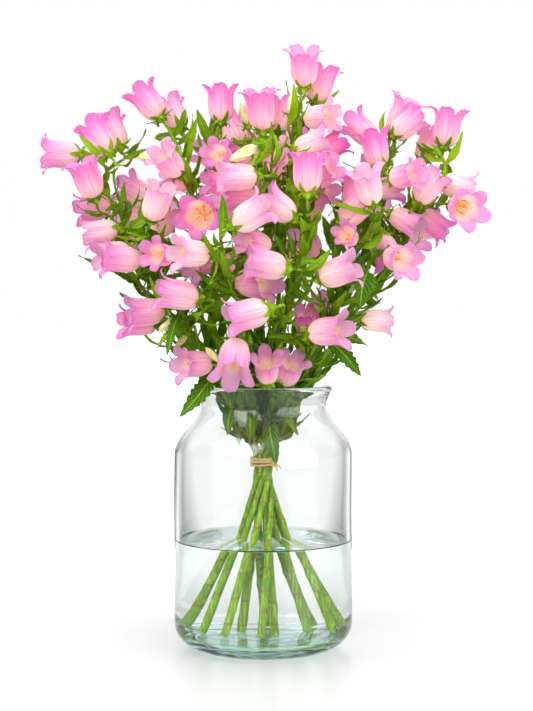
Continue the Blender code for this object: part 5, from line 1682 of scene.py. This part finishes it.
@dataclass
class GlassJar:
    """The jar: a thick foot, a straight body, a soft shoulder and a rolled lip."""

    radius: float = 87.5
    neck: float = 62.0
    glass: float = 4.0
    floor: float = 13.0
    foot_radius: float = 61.5
    corner: float = 22.0
    shoulder_low: float = 188.0
    shoulder_high: float = 238.0
    lip_height: float = 252.0
    lip_radius: float = 65.0
    lip_round: float = 3.1
    steps: int = 144

    def inside(self, height: float) -> float:
        """Give the jar's inner radius at a height."""
        low, high = self.shoulder_low, self.shoulder_high
        share = min(1.0, max(0.0, (height - low) / (high - low)))
        neck = self.neck - self.glass
        return neck + (self.radius - self.neck) * (0.5 + 0.5 * math.cos(math.pi * share))

    def slope(self, body: float, neck: float, steps: int = 18) -> list[Pair]:
        """Give the shoulder's soft slope from the body's radius in to the neck's."""
        rise = self.shoulder_high - self.shoulder_low
        return [(neck + (body - neck) * (0.5 + 0.5 * math.cos(math.pi * k / steps)),
                 self.shoulder_low + rise * k / steps) for k in range(steps + 1)]

    def underside(self) -> list[Pair]:
        """Give the hollow and rippled underside, from its middle outwards."""
        return [(0.0, 2.75)] + [
            (k, 2.4 - 1.2 * (k / 57) ** 3 + 0.35 * math.cos(k * 0.62)) for k in range(3, 57, 3)]

    def outline(self) -> list[Pair]:
        """Give the outline from the middle of the underside, up the outside and down the inside."""
        foot = self.radius - self.foot_radius
        inner = self.radius - self.glass
        rows = self.underside() + arc((self.foot_radius, foot), foot, -90, 0, 12)
        rows += [(self.radius, 26 + 18 * k) for k in range(1, 9)]
        rows += self.slope(self.radius, self.neck)
        rows += arc((self.lip_radius, self.lip_height), self.lip_round, -45, 180, 12)
        rows += self.slope(inner, self.neck - self.glass)[::-1]
        rows += [(inner, 170 - 18 * k) for k in range(8)]
        rows += arc((inner - self.corner, self.floor + self.corner), self.corner, 0, -90, 10)
        return rows + [(38.0, self.floor + 0.6), (18.0, self.floor + 1.0), (0.0, self.floor + 1.1)]

    def build(self) -> Thing:
        """Spin the outline into the jar, and make its walls a little uneven."""
        jar = Bench.spin("glass_jar", self.outline(), self.steps)
        points = read_points(jar.data) / METRES
        rise = points[:, 2]
        turn = np.arctan2(points[:, 1], points[:, 0])
        away = np.hypot(points[:, 0], points[:, 1])
        wave = (np.sin(3 * turn + rise / 31.0) * 0.28 + np.sin(5 * turn - rise / 17.0) * 0.16
                + np.sin(2 * turn + rise / 60.0 + away * 0.2) * 0.2)
        held = np.clip((rise - 20) / 30, 0, 1) * np.clip(away / 40, 0, 1)
        points[:, :2] *= (1 + (wave - 0.5) * held / np.maximum(away, 1.0))[:, None]
        write_points(jar.data, points)
        return clear(jar, ClearGlass())


@dataclass
class WaterFill:
    """The water in the jar, which rises a little where it meets the glass."""

    level: float = 104.0
    overlap: float = 0.3
    rise: float = 1.6

    def build(self, jar: GlassJar) -> Thing:
        """Spin the water's outline."""
        inner = jar.radius - jar.glass
        edge = inner + self.overlap
        rows = [(0.0, jar.floor + 0.9), (18.0, jar.floor + 0.8), (38.0, jar.floor + 0.4)]
        rows += arc((inner - jar.corner, jar.floor + jar.corner), jar.corner + self.overlap,
                    -90, 0, 10)
        rows += [(edge, 60.0), (edge, self.level + self.rise)]
        rows += [(inner - 0.6, self.level + self.rise * 0.45),
                 (inner - 1.6, self.level + self.rise * 0.12)]
        rows += [(inner - 3.2, self.level), (40.0, self.level), (0.0, self.level)]
        return clear(Bench.spin("water_fill", rows, jar.steps), StillWater())


@dataclass
class TwineTie:
    """Three turns of twisted twine round the stems, with a small knot and two ends."""

    height: float = 180.0
    radius: float = 1.15
    turns: int = 3
    inside: float = 10.9
    plies: int = 3
    twists: int = 12
    off_middle: float = 0.6
    start: float = 2.4
    ply_radius: float = 0.54
    steps: int = 110

    def ply(self, number: int) -> tuple[Points, Points]:
        """Give the run of one of the plies that are twisted into the twine."""
        places = np.linspace(0, self.turns, self.turns * self.steps)
        turn = places * FULL_TURN
        pitch = self.radius * 2.25
        rise = self.height + (places - self.turns / 2) * pitch + 0.45 * np.sin(turn * 1.37 + 0.6)
        twist = places * self.twists * FULL_TURN + number * FULL_TURN / self.plies
        away = self.inside + self.radius + self.off_middle * np.cos(twist)
        turn = turn + self.start
        points = np.column_stack([away * np.sin(turn), -away * np.cos(turn),
                                  rise + self.off_middle * np.sin(twist)])
        return points, np.full(len(points), self.ply_radius)

    def knot(self) -> list[tuple[Points, Points]]:
        """Give the runs of the knot's two loops and of its two ends."""
        runs = []
        knot = np.array([9.4, -8.6, self.height - 1.0])
        out = unit(knot * (1, 1, 0))
        side = np.cross(out, UP)
        for tilt, size in ((0.5, 2.4), (-0.7, 2.1)):
            loop = [knot + out * (1.6 + 0.9 * math.sin(2 * t)) + side * size * math.cos(t)
                    + UP * size * math.sin(t + tilt) for t in np.linspace(0, FULL_TURN, 26)]
            runs.append((np.array(loop), np.full(len(loop), 0.8)))
        for drop, reach in ((-7.0, 2.5), (-5.0, 6.0)):
            end = knot + out * 2.5 + np.array([reach, 0.5, drop])
            handles = [knot + out * 0.8, knot + out * 3.6, end + (0, 0, 3.0), end]
            points = np.array([bezier(handles, t) for t in np.linspace(0, 1, 14)])
            runs.append((points, np.linspace(0.95, 0.7, 14)))
        return runs

    def build(self) -> Thing:
        """Twist the plies, and add the knot."""
        runs = [self.ply(number) for number in range(self.plies)] + self.knot()
        twine = Bench.tubes("twine_tie", runs, 1)
        twine.data.materials.append(TWINE_FINISH.make())
        Bench.smooth(twine)
        return twine


def clear(piece: Thing, finish: ClearGlass | StillWater) -> Thing:
    """Make a piece clear, so that it throws no hard shadow."""
    piece.data.materials.append(finish.make())
    piece.visible_shadow = False
    return piece


JAR = GlassJar()


@dataclass
class BellShape:
    """The form of an open bell: its tube, and five flared lobes with pointed tips.

    A column of the flat grid runs up the bell from its foot to the edge of a lobe.
    """

    lobes: int = 5
    columns: int = 50
    rows: int = 21
    tube: Stops = (
        (0.0, 0.0), (0.25, 3.0), (1.3, 6.2), (3.4, 9.0), (6.6, 11.2), (11.0, 12.6), (16.0, 13.1),
        (21.0, 13.1), (25.5, 13.0), (29.0, 13.3), (31.0, 14.0))
    lobe_length: float = 11.8
    thickness: float = 0.35
    flare: Pair = (0.25, 2.3)
    ridge: float = 0.36
    groove: float = 0.5
    ruffle: float = 0.6
    ruffles: int = 15

    def profile(self, flare: float) -> tuple[Points, Points, Points]:
        """Give distance run, radius and height along a lobe's middle, from the foot to its tip."""
        steps = np.linspace(0, self.lobe_length * 1.1, 24)[1:]
        low, high = self.flare
        lean = (low + (high - low) * (steps / self.lobe_length) ** 1.8) * flare
        heights, radii = np.array(self.tube).T
        radius = np.concatenate([radii, radii[-1] + np.cumsum(np.sin(lean)) * steps[0]])
        height = np.concatenate([heights, heights[-1] + np.cumsum(np.cos(lean)) * steps[0]])
        run = np.concatenate([[0], np.cumsum(np.hypot(np.diff(radius), np.diff(height)))])
        return run, radius, height

    def bend(self, pattern: Pattern, draw: random.Random) -> Points:
        """Bend the flat grid into one bell, a little unlike the others.

        Args:
            pattern: the grid.
            draw: gives the chance by which bells differ.

        Returns:
            The grid's points for a bell that stands along +Z.
        """
        turn = pattern.turn
        part = pattern.across * self.lobes
        lobe = np.round(part).astype(int) % self.lobes
        off = np.abs(part - np.round(part)) * 2
        lengths, curls = (np.array([draw.uniform(*span) for _ in range(self.lobes)])[lobe]
                          for span in ((0.86, 1.08), (0.8, 1.2)))
        run, radius, height = self.profile(draw.uniform(0.82, 1.12))
        tube_run = run[len(self.tube) - 1]
        reach = self.lobe_length * lengths * (np.maximum(1 - off ** 2.3, 0) ** 0.75 * 0.9
                                              + 0.1 * np.exp(-(off / 0.2) ** 2))
        at = pattern.along * (tube_run - 1.2 + 0.6 * (1 - off) + reach)
        share = np.maximum(at - tube_run, 0) / self.lobe_length
        up = np.interp(at, run, height)
        up = up - share * (off ** 2 * 2.6) * curls - share ** 2 * (curls - 1) * 6.0
        away = np.interp(at, run, radius) + share * off ** 2 * 1.2
        top = self.tube[-1][0]
        ridge = self.ridge * np.cos(self.lobes * turn) * np.sin(np.pi * np.clip(up / top, 0, 1))
        groove = -self.groove * np.exp(-(off / 0.16) ** 2) * np.clip(share * 4, 0, 1)
        ruffle = self.ruffle * np.sin(turn * self.ruffles + draw.uniform(0, 6)) * share
        up = up + groove + ruffle
        lean = np.array([draw.uniform(-1.0, 1.0), draw.uniform(-1.0, 1.0), 0.0])
        return around(away + ridge, turn, up) + np.outer(np.clip(up / top, 0, 1) ** 2, lean)


@dataclass
class PistilShape:
    """What stands in a bell: a style with a three-part stigma, and five stamens round its foot."""

    style_length: float = 25.0
    stigma: float = 5.0
    stamen: float = 9.5

    def style(self, places: Points) -> list[tuple[Points, Points]]:
        """Give the runs of the style and of its stigma's three parts."""
        nothing = 0 * places
        runs = [(turned(nothing, 0, 1 + places * self.style_length, 0), np.linspace(0.95, 0.7, 7))]
        bow = self.stigma * 0.55
        for k in range(3):
            curl = places * 2.2
            rise = 1 + self.style_length + bow * np.sin(curl)
            runs.append((turned(bow * (1 - np.cos(curl)), 0, rise, FULL_TURN * k / 3 + 0.4),
                         np.linspace(0.72, 0.4, 7)))
        return runs

    def stamens(self, places: Points) -> list[tuple[Points, Points]]:
        """Give the runs of the stamens."""
        return [(turned(1.5 + 5.2 * np.sin(places * 1.9), 1.6 * np.sin(places * 4 + k),
                        1.5 + places * self.stamen, FULL_TURN * k / 5),
                 np.array([0.4, 0.4, 0.5, 0.75, 0.8, 0.75, 0.4])) for k in range(5)]

    def build(self) -> Thing:
        """Make the style and the stamens, along +Z."""
        places = np.linspace(0, 1, 7)
        parts = []
        for name, runs, finish in (("style", self.style(places), STYLE_FINISH),
                                   ("stamens", self.stamens(places), ANTHER_FINISH)):
            parts.append(Bench.tubes(name, runs, 0))
            Bench.paint(parts[-1], finish)
        whole = Bench.join(parts, "pistil")
        Bench.smooth(whole, 80)
        return whole


@dataclass
class Fuzz:
    """The short stiff hairs of stalks and calyxes, a patch of them at a time."""

    hairs: int = 16
    length: float = 1.3
    hair: Triple = (0.008, 0.004, 1.0)

    def build(self) -> Thing:
        """Make a flat patch, one unit wide and long, from which the hairs stand up by one unit."""
        draw = random.Random(77)
        made = []
        for number in range(self.hairs):
            Bench.clear()
            place = (draw.random() - 0.5, (number + draw.random()) / self.hairs - 0.5, 0.5)
            bpy.ops.mesh.primitive_cone_add(vertices=3, radius1=1.0, depth=1.0, location=place)
            bpy.context.object.scale = self.hair
            made.append(bpy.context.object)
        patch = Bench.join(made, "fuzz")
        Bench.pick(patch)
        bpy.ops.object.transform_apply(location=True, rotation=True, scale=True)
        return patch

    def wrap(self, run: Points, wide: Points, turn: float, tint: float) -> Thing:
        """Wrap a patch round a run of points.

        Args:
            run: the points, in millimetres.
            wide: the radii there.
            turn: how far the patch is turned about the run, in radians.
            tint: the number that the finish reads.

        Returns:
            The patch.
        """
        pattern = PATTERNS["fuzz"]
        at = np.clip(pattern.along, 0, 1) * (len(run) - 1)
        one, other = frame_of(unit(run[-1] - run[0]), turn)
        out = np.interp(at, range(len(run)), wide) * 0.92 + pattern.points[:, 2] * self.length
        return pattern.copy("fuzz", sample(run, at) + np.outer(np.cos(pattern.turn) * out, one)
                            + np.outer(np.sin(pattern.turn) * out, other), tint)


@dataclass
class CalyxShape:
    """The green cup under a flower, with five pointed sepals and curled lobes between them."""

    spread: float = 0.9
    sepal: float = 12.5
    sepal_width: float = 5.2
    sepal_point: float = 2.0
    curl: float = 6.5
    curl_width: float = 5.0
    curl_point: float = 2.8
    curl_leans: Pair = (1.35, 2.9)
    foot: Pair = (4.4, -1.4)
    fold: float = 0.3
    wave: float = 0.35
    ripple: float = 0.13
    cup_places: tuple[float, ...] = (0, 0.2, 0.55, 0.85, 1.0)
    cup_away: tuple[float, ...] = (1.2, 2.1, 4.6, 5.9, 5.4)
    cup_rise: tuple[float, ...] = (-6.2, -5.2, -3.4, -0.9, 0.6)

    def strip(self, length: float, width: float, turn: float, leans: Pair, draw: random.Random,
              point: float) -> Thing:
        """Bend the flat strip into one sepal or curled lobe.

        Args:
            length: its length.
            width: its width.
            turn: its place round the cup.
            leans: its lean from the axis at its root and at its tip, in radians.
            draw: gives the chance by which sepals differ.
            point: how soon it narrows to its tip.

        Returns:
            The sepal.
        """
        strip = PATTERNS["strip"]
        at = strip.along.round(4)
        places = np.unique(at)
        lean = leans[0] + (leans[1] - leans[0]) * places
        step = length / (len(places) - 1)
        away, rise = (start + np.concatenate([[0], np.cumsum(way(lean[1:]) * step)])
                      for start, way in zip(self.foot, (np.sin, np.cos)))
        side = (strip.across - 0.5) * 2
        half = width / 2 * np.maximum(1 - at ** point, 0.02) ** 0.8
        half = half * (0.82 + 0.18 * np.sin(at * 3))
        half = half * (1 + self.ripple * np.sin(at * 26 + turn * 3) * np.abs(side))
        wave = self.wave * np.sin(at * 9 + side * 2 + draw.uniform(0, 6)) * at
        fold = self.fold * half * np.abs(side) + wave
        out, up, tilt = (np.interp(at, places, values) for values in (away, rise, lean))
        out = out - fold * np.cos(tilt)
        up = up + fold * np.sin(tilt)
        bell = np.interp(up, *np.array(BellShape.tube).T) + 0.7
        out = np.where(up > 0.1, np.maximum(out, bell), out)
        return strip.copy("sepal", turned(out, side * half, up, turn))

    def build(self, draw: random.Random) -> Thing:
        """Make one calyx, along +Z."""
        pattern = PATTERNS["cup"]
        away, rise = (np.interp(pattern.along, self.cup_places, values)
                      for values in (self.cup_away, self.cup_rise))
        away = away * (1 + 0.07 * np.cos(5 * pattern.turn))
        cup = pattern.copy("cup", around(away, pattern.turn, rise))
        leaves = []
        for k in range(5):
            place = FULL_TURN * (k + 0.5) / 5
            spread = self.spread * draw.uniform(0.8, 1.15)
            leaves.append(self.strip(
                self.sepal * draw.uniform(0.88, 1.1), self.sepal_width, place,
                (spread, spread + draw.uniform(-0.5, 0.4)), draw, self.sepal_point))
            leaves.append(self.strip(
                self.curl * draw.uniform(0.8, 1.2), self.curl_width, place + math.pi / 5,
                self.curl_leans, draw, self.curl_point))
        whole = Bench.join(leaves, "sepals")
        Bench.thicken(whole, 0.4, 0.0)
        run = np.outer(self.cup_rise, UP)
        hairs = [Fuzz().wrap(run, self.cup_away, 1.7 * k, 1.0) for k in range(3)]
        whole = Bench.join([whole, cup] + hairs, "calyx")
        Bench.paint(whole, CALYX_FINISH)
        Bench.weld(whole)
        Bench.smooth(whole)
        return whole


@dataclass
class LeafShape:
    """A leaf: pointed, finely toothed, folded a little along its midrib."""

    fold: float = 0.28
    teeth: float = 0.13
    ripple: float = 0.1
    twist: float = 0.5
    bow: float = 0.08
    solid_width: float = 0.78
    solid_droop: float = 0.2
    thickness: float = 0.35
    neck_height: float = 262.0

    def bend(self, pattern: Pattern, blade: Blade, draw: random.Random) -> Points:
        """Bend the flat grid into one leaf at its place."""
        at = pattern.along
        side = (pattern.across - 0.5) * 2
        solid = not (blade.large or blade.arched)
        toothed = blade.large and blade.root[2] > self.neck_height
        teeth = self.teeth * (1.0 if toothed else 0.4)
        tooth = np.where(np.round(at * (16 if blade.large else 10)) % 2, 1 + teeth, 1 - teeth)
        half = blade.half_width(at) * np.where(np.abs(side) > 0.9, tooth, 1.0)
        half = half * (self.solid_width if solid else 1.0)
        half = np.where(at > 0.99, 0.02, half)
        half = np.where(at < 0.01, 0.5, half)
        middle = blade.midrib(at)
        if solid:
            middle = middle - np.outer(at ** 2 * blade.length * self.solid_droop, blade.normal)
        twist = draw.uniform(-self.twist, self.twist) * at
        ripple = np.sin(at * 11 + np.sign(side) * 1.3 + draw.uniform(0, 6)) * np.abs(side)
        lift = half * np.abs(side) * self.fold + self.ripple * blade.width * ripple
        bow = draw.uniform(-self.bow, self.bow) * blade.length
        across = half * side + bow * np.sin(np.pi * at)
        return (middle + np.outer(across * np.cos(twist) - lift * np.sin(twist), blade.across)
                + np.outer(lift * np.cos(twist) + across * np.sin(twist), blade.normal))


@dataclass
class BudShape:
    """A closed bud, or a faded bell folded shut: five soft folds that turn towards the tip."""

    length: float = 33.0
    places: tuple[float, ...] = (0, 0.06, 0.2, 0.42, 0.66, 0.86, 1.0)
    radii: tuple[float, ...] = (0, 2.6, 4.4, 5.4, 5.0, 3.4, 0)

    def bend(self, pattern: Pattern) -> Points:
        """Bend the flat grid into the bud, along +Z."""
        at = pattern.along
        folds = 1 + 0.16 * np.cos(5 * (pattern.turn - at * 1.6))
        away = np.interp(at, self.places, self.radii) * folds
        return around(away, pattern.turn, at * self.length - 0.8)


def prepare() -> None:
    """Make the finishes that pieces share, and the patterns that are copied."""
    for finish in (PETAL_OUTSIDE, PETAL_INSIDE, LEAF_FINISH, CALYX_FINISH, STEM_FINISH,
                   STYLE_FINISH, ANTHER_FINISH, BUD_FINISH, CUT_FINISH):
        MATERIALS[finish.name] = finish.make()
    for name, across, along in (("bell", BellShape.columns, BellShape.rows), ("strip", 2, 7),
                                ("cup", 15, 5), ("leaf", 4, 10), ("large_leaf", 6, 16),
                                ("bud", 20, 12)):
        PATTERNS[name] = Pattern(Bench.grid(name, across, along))
    PATTERNS["pistil"] = Pattern(PistilShape().build())
    PATTERNS["fuzz"] = Pattern(Fuzz().build())
    for number, spread in enumerate((0.55, 0.85, 1.15, 1.4)):
        calyx = CalyxShape(spread=spread).build(random.Random(40 + number))
        PATTERNS[f"calyx_{number}"] = Pattern(calyx)


@dataclass
class BellCluster:
    """The open bells of one node, which hold to each other by their lobes."""

    name: str
    flowers: list[Flower]
    shape: BellShape = field(default_factory=BellShape)

    def bell(self, flower: Flower) -> Thing:
        """Make one bell's petals."""
        pattern = PATTERNS["bell"]
        local = self.shape.bend(pattern, random.Random(900 + flower.number))
        piece = pattern.copy("bell", flower.place(local), flower.bloom.tint)
        Bench.paint(piece, PETAL_OUTSIDE, PETAL_INSIDE)
        return piece

    @staticmethod
    def pistil(flower: Flower) -> Thing:
        """Set the style and stamens in a bell."""
        pattern = PATTERNS["pistil"]
        return pattern.copy("pistil", flower.place(pattern.points / METRES, flower.number * 0.9))

    def build(self) -> Thing:
        """Make the cluster as one piece."""
        petals = Bench.join([self.bell(flower) for flower in self.flowers], self.name)
        Bench.weld(petals)
        Bench.thicken(petals, self.shape.thickness, -1.0, 1)
        Bench.smooth(petals, 60)
        return Bench.join([petals] + [self.pistil(flower) for flower in self.flowers], self.name)


@dataclass
class LeafyStem:
    """A stem with all that grows from it but its open bells: stalks, calyxes, buds and leaves."""

    stem: Stem
    strands: list[Strand]
    blades: list[Blade]
    hairy_above: float = 262.0
    joint_spacing: float = 52.0
    joint_shift: float = 17.0
    joint_swell: float = 0.24
    leaf_tints: Pair = (-0.2, 0.5)
    # painted shade: heights in mm over which leaves go from darker low in the bunch to lighter
    # above
    painted_shade_heights: Pair = (220.0, 260.0)
    darker_large: float = 0.3

    def fine_run(self, strand: Strand) -> tuple[Points, Points]:
        """Give a strand's smooth run and its widths, with the swollen joints that a stem has."""
        fine = smooth_curve(strand.points, 5)
        count = len(strand.points)
        at = np.linspace(0, count - 1, len(fine))
        wide = np.interp(at, range(count), strand.radii)
        wide = wide * np.interp(fine[:, 2], (150, 185), (1.13, 1.0))
        if strand.parent is None:
            run = np.concatenate([[0], np.cumsum(np.linalg.norm(np.diff(fine, axis=0), axis=1))])
            shifted = (run + self.joint_shift * self.stem.tie_place) % self.joint_spacing
            off = shifted - self.joint_spacing / 2
            wide = wide * (1 + self.joint_swell * np.exp(-off ** 2 / 5.0))
        return fine, wide

    def wood(self) -> Thing:
        """Make the stem and its stalks, with hairs above the jar's neck."""
        runs = [self.fine_run(strand) for strand in self.strands]
        fuzz = []
        for fine, wide in runs:
            for start in range(0, len(fine) - 3, 7):
                if fine[start][2] > self.hairy_above:
                    part = slice(start, start + 8)
                    fuzz.append(Fuzz().wrap(fine[part], wide[part], start, 0.95))
        wood = Bench.tubes("wood", runs, 3)
        mark(wood.data, 0.5 + 0.013 * self.stem.tie_place)
        Bench.paint(wood, STEM_FINISH, CUT_FINISH)
        for face in wood.data.polygons:
            face.material_index = int(len(face.vertices) > 4)
        wood = Bench.join([wood] + fuzz, "wood")
        Bench.smooth(wood)
        return wood

    def leaves(self) -> Thing:
        """Make the stem's leaves."""
        shape = LeafShape()
        made = []
        for number, blade in enumerate(self.blades):
            draw = random.Random(3000 + 100 * self.stem.tie_place + number)
            pattern = PATTERNS["large_leaf" if blade.large else "leaf"]
            # painted shade: leaves are drawn darker the lower they grow, from 220 mm up to 480 mm,
            # those below 268 mm with a small fixed lift
            low, span = self.painted_shade_heights
            light = 0.25 + 0.75 * min(1, max(0, (blade.root[2] - low) / span))
            tint = draw.uniform(*self.leaf_tints) + (0.1 if blade.root[2] < 268 else 0.5 * light)
            tint -= self.darker_large * blade.large
            made.append(pattern.copy("leaf", shape.bend(pattern, blade, draw), tint))
        leaves = Bench.join(made, "leaves")
        Bench.paint(leaves, LEAF_FINISH)
        Bench.thicken(leaves, shape.thickness, 0.0)
        Bench.smooth(leaves, 60)
        return leaves

    @staticmethod
    def calyx(flower: Flower) -> Thing:
        """Set a calyx under a flower."""
        pattern = PATTERNS[f"calyx_{flower.number % 4}"]
        return pattern.copy("calyx", flower.place(pattern.points / METRES),
                            0.45 + 0.3 * math.sin(flower.number * 2.3))

    @staticmethod
    def bud(flower: Flower) -> Thing:
        """Set a closed bud in its calyx."""
        pattern = PATTERNS["bud"]
        bud = pattern.copy("bud", flower.place(BudShape().bend(pattern)), flower.bloom.tint)
        Bench.paint(bud, BUD_FINISH)
        Bench.weld(bud)
        Bench.smooth(bud)
        return bud

    def build(self) -> Thing:
        """Make the stem as one piece."""
        parts = [self.wood(), self.leaves()]
        for flower in (strand.flower for strand in self.strands if strand.flower):
            parts.append(self.calyx(flower))
            if flower.bloom.kind is Kind.BUD:
                parts.append(self.bud(flower))
        return Bench.join(parts, "green_" + self.stem.name)


@dataclass
class Lamp:
    """A large soft lamp, which may be hidden from what glass mirrors and bends."""

    name: str
    place: Triple
    size: float
    power: float
    mirrored: bool = True

    def hang(self) -> None:
        """Hang the lamp so that it faces the bouquet."""
        lamp = bpy.data.lights.new(self.name, "AREA")
        lamp.size = self.size
        lamp.energy = self.power
        holder = Bench.place(self.name, lamp)
        holder.visible_glossy = self.mirrored
        holder.visible_transmission = self.mirrored
        holder.location = self.place
        way = Vector((0, 0, 0.35)) - Vector(self.place)
        holder.rotation_euler = way.to_track_quat("-Z", "Y").to_euler()


@dataclass
class Studio:
    """A white sweep, soft light from all round, and the camera of the front view."""

    lens: float = 75.925
    sensor: float = 36.0
    shift: float = -0.0668
    walls: Stops = (
        (0.0, 1.0), (0.12, 1.0), (0.17, 0.62), (0.25, 0.55), (0.3, 0.85), (0.36, 0.8),
        (0.42, 0.22), (0.56, 0.2), (0.63, 0.6), (0.7, 0.5), (1.0, 0.5))
    # painted shade: dim bands on the floor, seen only in the glass, that stand in for the dim room
    # the jar's edges mirror
    near_floor: Stops = ((0.0, 1.0), (0.15, 1.0), (0.18, 0.7), (0.5, 0.7))
    far_floor: Stops = (
        (0.0, 0.84), (0.05, 0.86), (0.07, 0.4), (0.09, 0.14), (0.15, 0.14), (0.17, 0.9),
        (0.24, 0.9), (0.28, 0.4))
    # painted light: caustic rings on the floor under the jar, bright and teal by turns
    rings: Stops = (
        (0.0, 0.9), (0.012, 0.5), (0.02, 1.0), (0.028, 1.0), (0.034, 0.2), (0.04, 0.9),
        (0.048, 1.0), (0.054, 0.1), (0.059, 1.0), (0.064, 0.9), (0.068, 0.1), (0.073, 1.0),
        (0.079, 0.3), (0.084, 0.9))
    caustic_tone: Rgba = colour(96, 172, 160)
    caustic_reach: float = 0.086
    bands_from: Pair = (0.2, 0.62)
    paper: float = 0.7
    glow: float = 0.05
    # painted contact shadow: the floor darkens near the jar's foot, as the clear jar casts none of
    # its own
    shade: Stops = ((0.08, 0.84), (0.1, 0.9), (0.13, 0.97), (0.16, 1.0))
    lamps: tuple[Lamp, ...] = (
        Lamp("key", (-1.1, -1.6, 1.9), 2.0, 54.0), Lamp("fill", (1.6, -1.2, 0.9), 1.8, 26.0),
        Lamp("front", (0.1, -1.7, 0.2), 1.4, 9.0, mirrored=False))

    def camera(self) -> None:
        """Set up the camera at the front view's eye, level."""
        view = bpy.data.cameras.new("camera")
        view.lens = self.lens
        view.sensor_width = self.sensor
        view.shift_y = self.shift
        camera = Bench.place("camera", view)
        camera.location = (EYE.right * METRES, -EYE.distance * METRES, EYE.height * METRES)
        camera.rotation_euler = (math.pi / 2, 0, 0)
        bpy.context.scene.camera = camera

    def room(self) -> None:
        """Set up the room: white behind the object and above, dim beside and before it."""
        world = bpy.data.worlds.new("white_room")
        bpy.context.scene.world = world
        world.use_nodes = True
        nodes = Nodes(world.node_tree)
        way = nodes.add("SeparateXYZ", nodes.add("TexCoord").outputs["Generated"]).outputs
        turn = nodes.math("ABSOLUTE", nodes.math("ARCTAN2", way[0], way[1]))
        walls = nodes.tones(nodes.math("DIVIDE", turn, math.pi), *self.walls)
        tone = nodes.mix(nodes.scaled(way[2], 2.5, -1.1), walls, WHITE)
        shade = world.node_tree.nodes["Background"]
        nodes.feed(shade.inputs[0], nodes.mix(nodes.seen(), tone, WHITE))

    def bands(self, sheet: Sheet, away: Socket) -> Socket:
        """Give the floor as glass bends or mirrors it: with painted dim bands that stand in for the
        dim room, and painted caustic rings of light under the jar.
        """
        right, back, _ = sheet.place()
        turn = sheet.math("ABSOLUTE", sheet.math("ARCTAN2", right, back))
        turn = sheet.math("DIVIDE", turn, math.pi)
        bands = [sheet.tones(turn, *stops) for stops in (self.near_floor, self.far_floor)]
        near, far = self.bands_from
        banded = sheet.mix(sheet.math("GREATER_THAN", away, far), *bands)
        banded = sheet.mix(sheet.math("GREATER_THAN", away, near), WHITE, banded)
        # painted caustic rings under the jar, seen only in the glass
        ring = sheet.mix(sheet.tones(away, *self.rings), self.caustic_tone, grey(1.5))
        ring = sheet.mix(sheet.math("LESS_THAN", away, self.caustic_reach), WHITE, ring)
        return sheet.shaded(banded, ring)

    def floor(self) -> None:
        """Lay the white floor, which the eye sees plain but for a painted contact shadow round the
        jar, and which glows white farther away.
        """
        Bench.clear()
        bpy.ops.mesh.primitive_plane_add(size=40.0, location=(0, 0, 0))
        floor = bpy.context.object
        floor.name = "white_floor"
        sheet = Sheet("white_paper", Roughness=0.3, Emission_Color=WHITE)
        away = sheet.away()
        banded = self.bands(sheet, away)
        tone = sheet.shaded(sheet.mix(sheet.seen(), banded, WHITE), sheet.tones(away, *self.shade))
        far = sheet.scaled(away, 3.2, -0.45)
        for socket, near_tone, far_tone in (("Base Color", self.paper, 0.0),
                                            ("Emission Strength", self.glow, 1.0)):
            plain = sheet.mix(far, grey(near_tone), grey(far_tone))
            sheet.give(socket, sheet.shaded(plain, tone))
        floor.data.materials.append(sheet.material)

    def build(self) -> None:
        """Set up the studio."""
        self.camera()
        self.room()
        for lamp in self.lamps:
            lamp.hang()
        self.floor()
        scene = bpy.context.scene
        scene.view_settings.view_transform = "Standard"
        scene.cycles.max_bounces = 24
        scene.cycles.transmission_bounces = 20
        scene.cycles.diffuse_bounces = 8


def fit(piece: Thing, slot: str, *nodes: str) -> None:
    """Let a piece ride on the body, and stand for its CAD nodes."""
    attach(piece, "root")
    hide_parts(*nodes)
    log.info("%s: %d faces, for %s", piece.name, len(piece.data.polygons), ", ".join(nodes))


def dress(bunch: Bunch, foliage: Foliage) -> None:
    """Make the stems' and the bells' pieces."""
    for stem in STEMS:
        own = stem.name
        strands = [s for s in bunch.strands if s.stem == own]
        blades = [b for b in foliage.blades if b.stem == own]
        fit(LeafyStem(stem, strands, blades).build(), "stems_and_leaves", "stem_" + own)
        groups: dict[str, list[Flower]] = {}
        for flower in bunch.flowers:
            if flower.bloom.stem == own and flower.bloom.kind is not Kind.BUD:
                groups.setdefault(flower.bloom.group, []).append(flower)
        for group, flowers in groups.items():
            node = f"bells_{own}_{group}"
            node = node if node in frame["nodes"] else "stem_" + own
            fit(BellCluster(f"petals_{own}_{group}", flowers).build(), "petals", node)


def main() -> None:
    """Lay out the bunch, and make every piece in its order."""
    logging.basicConfig(level=logging.INFO, format="%(message)s")
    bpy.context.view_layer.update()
    Studio().build()
    prepare()
    fit(JAR.build(), "clear_glass", "vase")
    fit(WaterFill().build(JAR), "water", "water")
    fit(TwineTie().build(), "jute_twine", "twine")
    bunch = Bunch()
    bunch.grow()
    foliage = Foliage()
    foliage.grow(bunch)
    dress(bunch, foliage)
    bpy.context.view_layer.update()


if __name__ == "__main__":
    main()
